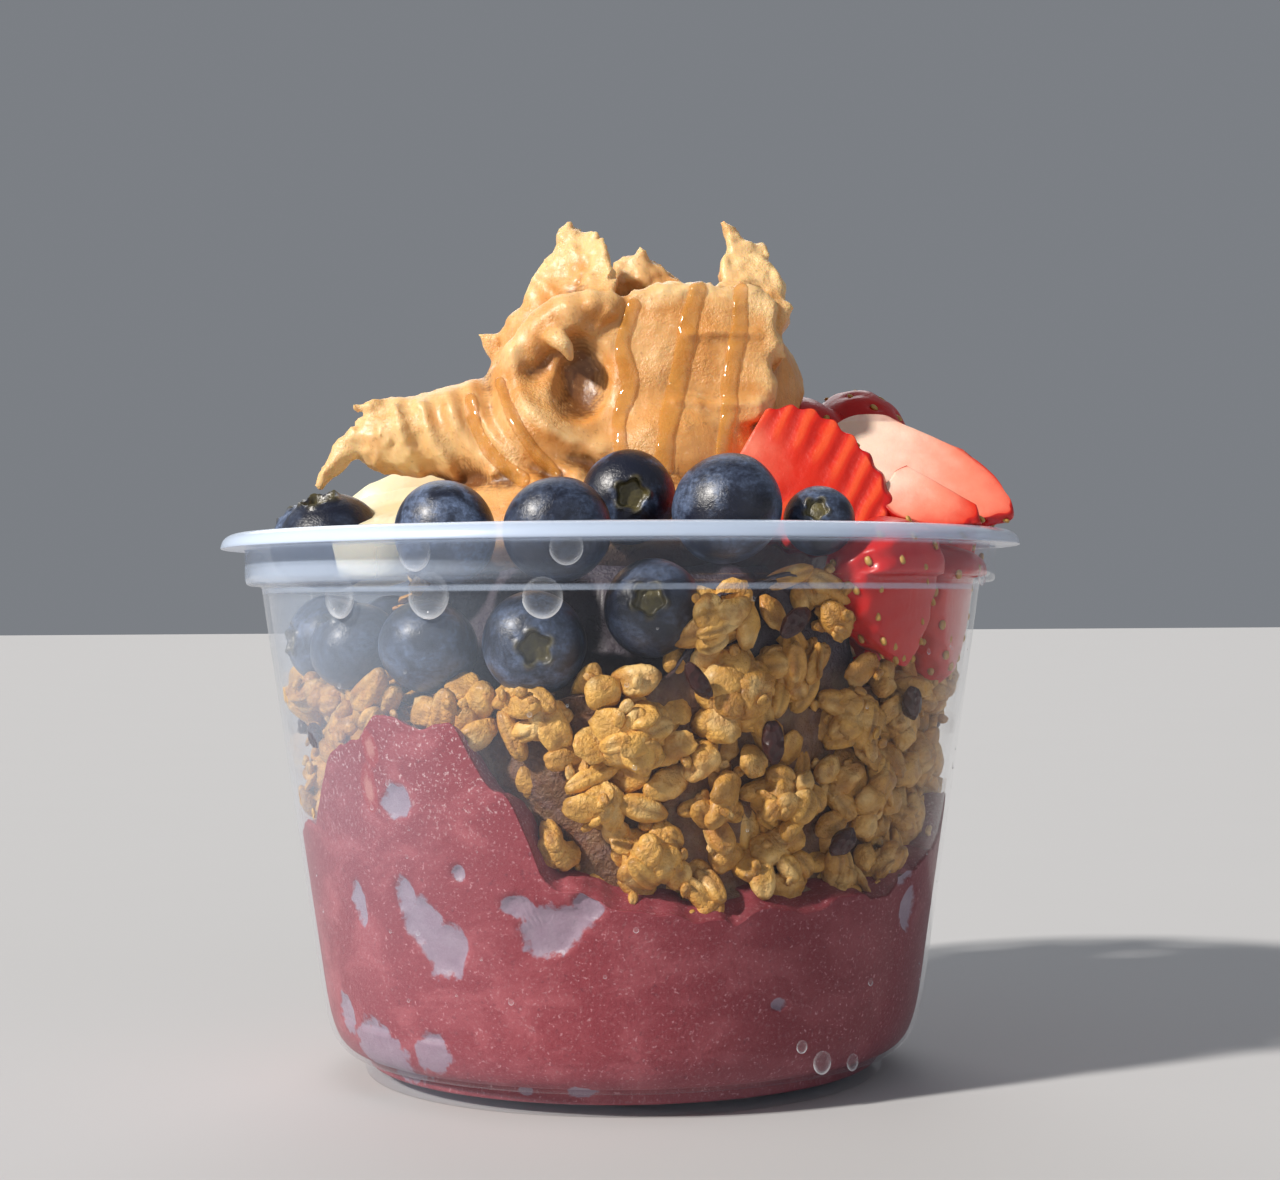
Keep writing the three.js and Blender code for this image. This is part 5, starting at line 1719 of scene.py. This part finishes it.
class BowlSettings(bpy.types.PropertyGroup):
    """All settings of the bowl, one group for each kind of piece"""
    tub: bpy.props.PointerProperty(type=BowlTubSettings)
    puree: bpy.props.PointerProperty(type=BowlPureeSettings)
    granola: bpy.props.PointerProperty(type=BowlGranolaSettings)
    berries: bpy.props.PointerProperty(type=BowlBerrySettings)
    strawberries: bpy.props.PointerProperty(type=BowlStrawberrySettings)
    bananas: bpy.props.PointerProperty(type=BowlBananaSettings)
    butter: bpy.props.PointerProperty(type=BowlButterSettings)
    stage: bpy.props.PointerProperty(type=BowlStageSettings)


class BOWL_OT_tub(bpy.types.Operator):
    """Make the clear tub and the dew on its wall"""
    bl_idname = "bowl.tub"
    bl_label = "Tub"

    def execute(self, context):
        build_tub(context.scene.bowl.tub)
        build_dew()
        return {"FINISHED"}


class BOWL_OT_puree(bpy.types.Operator):
    """Make the frozen puree with its air pockets"""
    bl_idname = "bowl.puree"
    bl_label = "Puree"

    def execute(self, context):
        build_puree(context.scene.bowl.puree)
        return {"FINISHED"}


class BOWL_OT_granola(bpy.types.Operator):
    """Make the granola heap with its loose kernels, flakes and dried fruit"""
    bl_idname = "bowl.granola"
    bl_label = "Granola"

    def execute(self, context):
        build_granola_core(context.scene.bowl.granola)
        build_granola(context.scene.bowl.granola)
        return {"FINISHED"}


class BOWL_OT_berries(bpy.types.Operator):
    """Make the blueberries"""
    bl_idname = "bowl.berries"
    bl_label = "Blueberries"

    def execute(self, context):
        build_berries(context.scene.bowl.berries)
        return {"FINISHED"}


class BOWL_OT_strawberries(bpy.types.Operator):
    """Make the cut strawberries and their seeds"""
    bl_idname = "bowl.strawberries"
    bl_label = "Strawberries"

    def execute(self, context):
        build_strawberries(context.scene.bowl.strawberries)
        return {"FINISHED"}


class BOWL_OT_bananas(bpy.types.Operator):
    """Make the banana slices"""
    bl_idname = "bowl.bananas"
    bl_label = "Banana slices"

    def execute(self, context):
        build_bananas(context.scene.bowl.bananas)
        return {"FINISHED"}


class BOWL_OT_butter(bpy.types.Operator):
    """Make the peanut butter mound and the honey on it"""
    bl_idname = "bowl.butter"
    bl_label = "Peanut butter and honey"

    def execute(self, context):
        build_butter(context.scene.bowl.butter)
        return {"FINISHED"}


class BOWL_OT_stage(bpy.types.Operator):
    """Make the floor, the lights and the camera"""
    bl_idname = "bowl.stage"
    bl_label = "Stage"

    def execute(self, context):
        build_stage(context.scene.bowl.stage)
        return {"FINISHED"}


OPERATORS = (
    BOWL_OT_tub, BOWL_OT_puree, BOWL_OT_granola, BOWL_OT_berries, BOWL_OT_strawberries,
    BOWL_OT_bananas, BOWL_OT_butter, BOWL_OT_stage,
)


class BOWL_PT_panel(bpy.types.Panel):
    """Lists a button for each kind of piece and for the stage"""
    bl_label = "Acai Bowl"
    bl_space_type = "VIEW_3D"
    bl_region_type = "UI"
    bl_category = "Acai Bowl"

    def draw(self, context):
        for operator in OPERATORS:
            self.layout.operator(operator.bl_idname)


SETTINGS = (
    BowlTubSettings, BowlPureeSettings, BowlGranolaSettings, BowlBerrySettings,
    BowlStrawberrySettings, BowlBananaSettings, BowlButterSettings, BowlStageSettings,
    BowlSettings,
)


def register():
    """Makes the settings, the operators and the panel known."""
    for cls in SETTINGS + OPERATORS + (BOWL_PT_panel,):
        bpy.utils.register_class(cls)
    bpy.types.Scene.bowl = bpy.props.PointerProperty(type=BowlSettings)


def unregister():
    """Takes them away again, in reverse."""
    del bpy.types.Scene.bowl
    for cls in reversed(SETTINGS + OPERATORS + (BOWL_PT_panel,)):
        bpy.utils.unregister_class(cls)


def main():
    register()
    for operator in OPERATORS:
        group, name = operator.bl_idname.split(".")
        getattr(getattr(bpy.ops, group), name)()


if __name__ == "__main__":
    main()
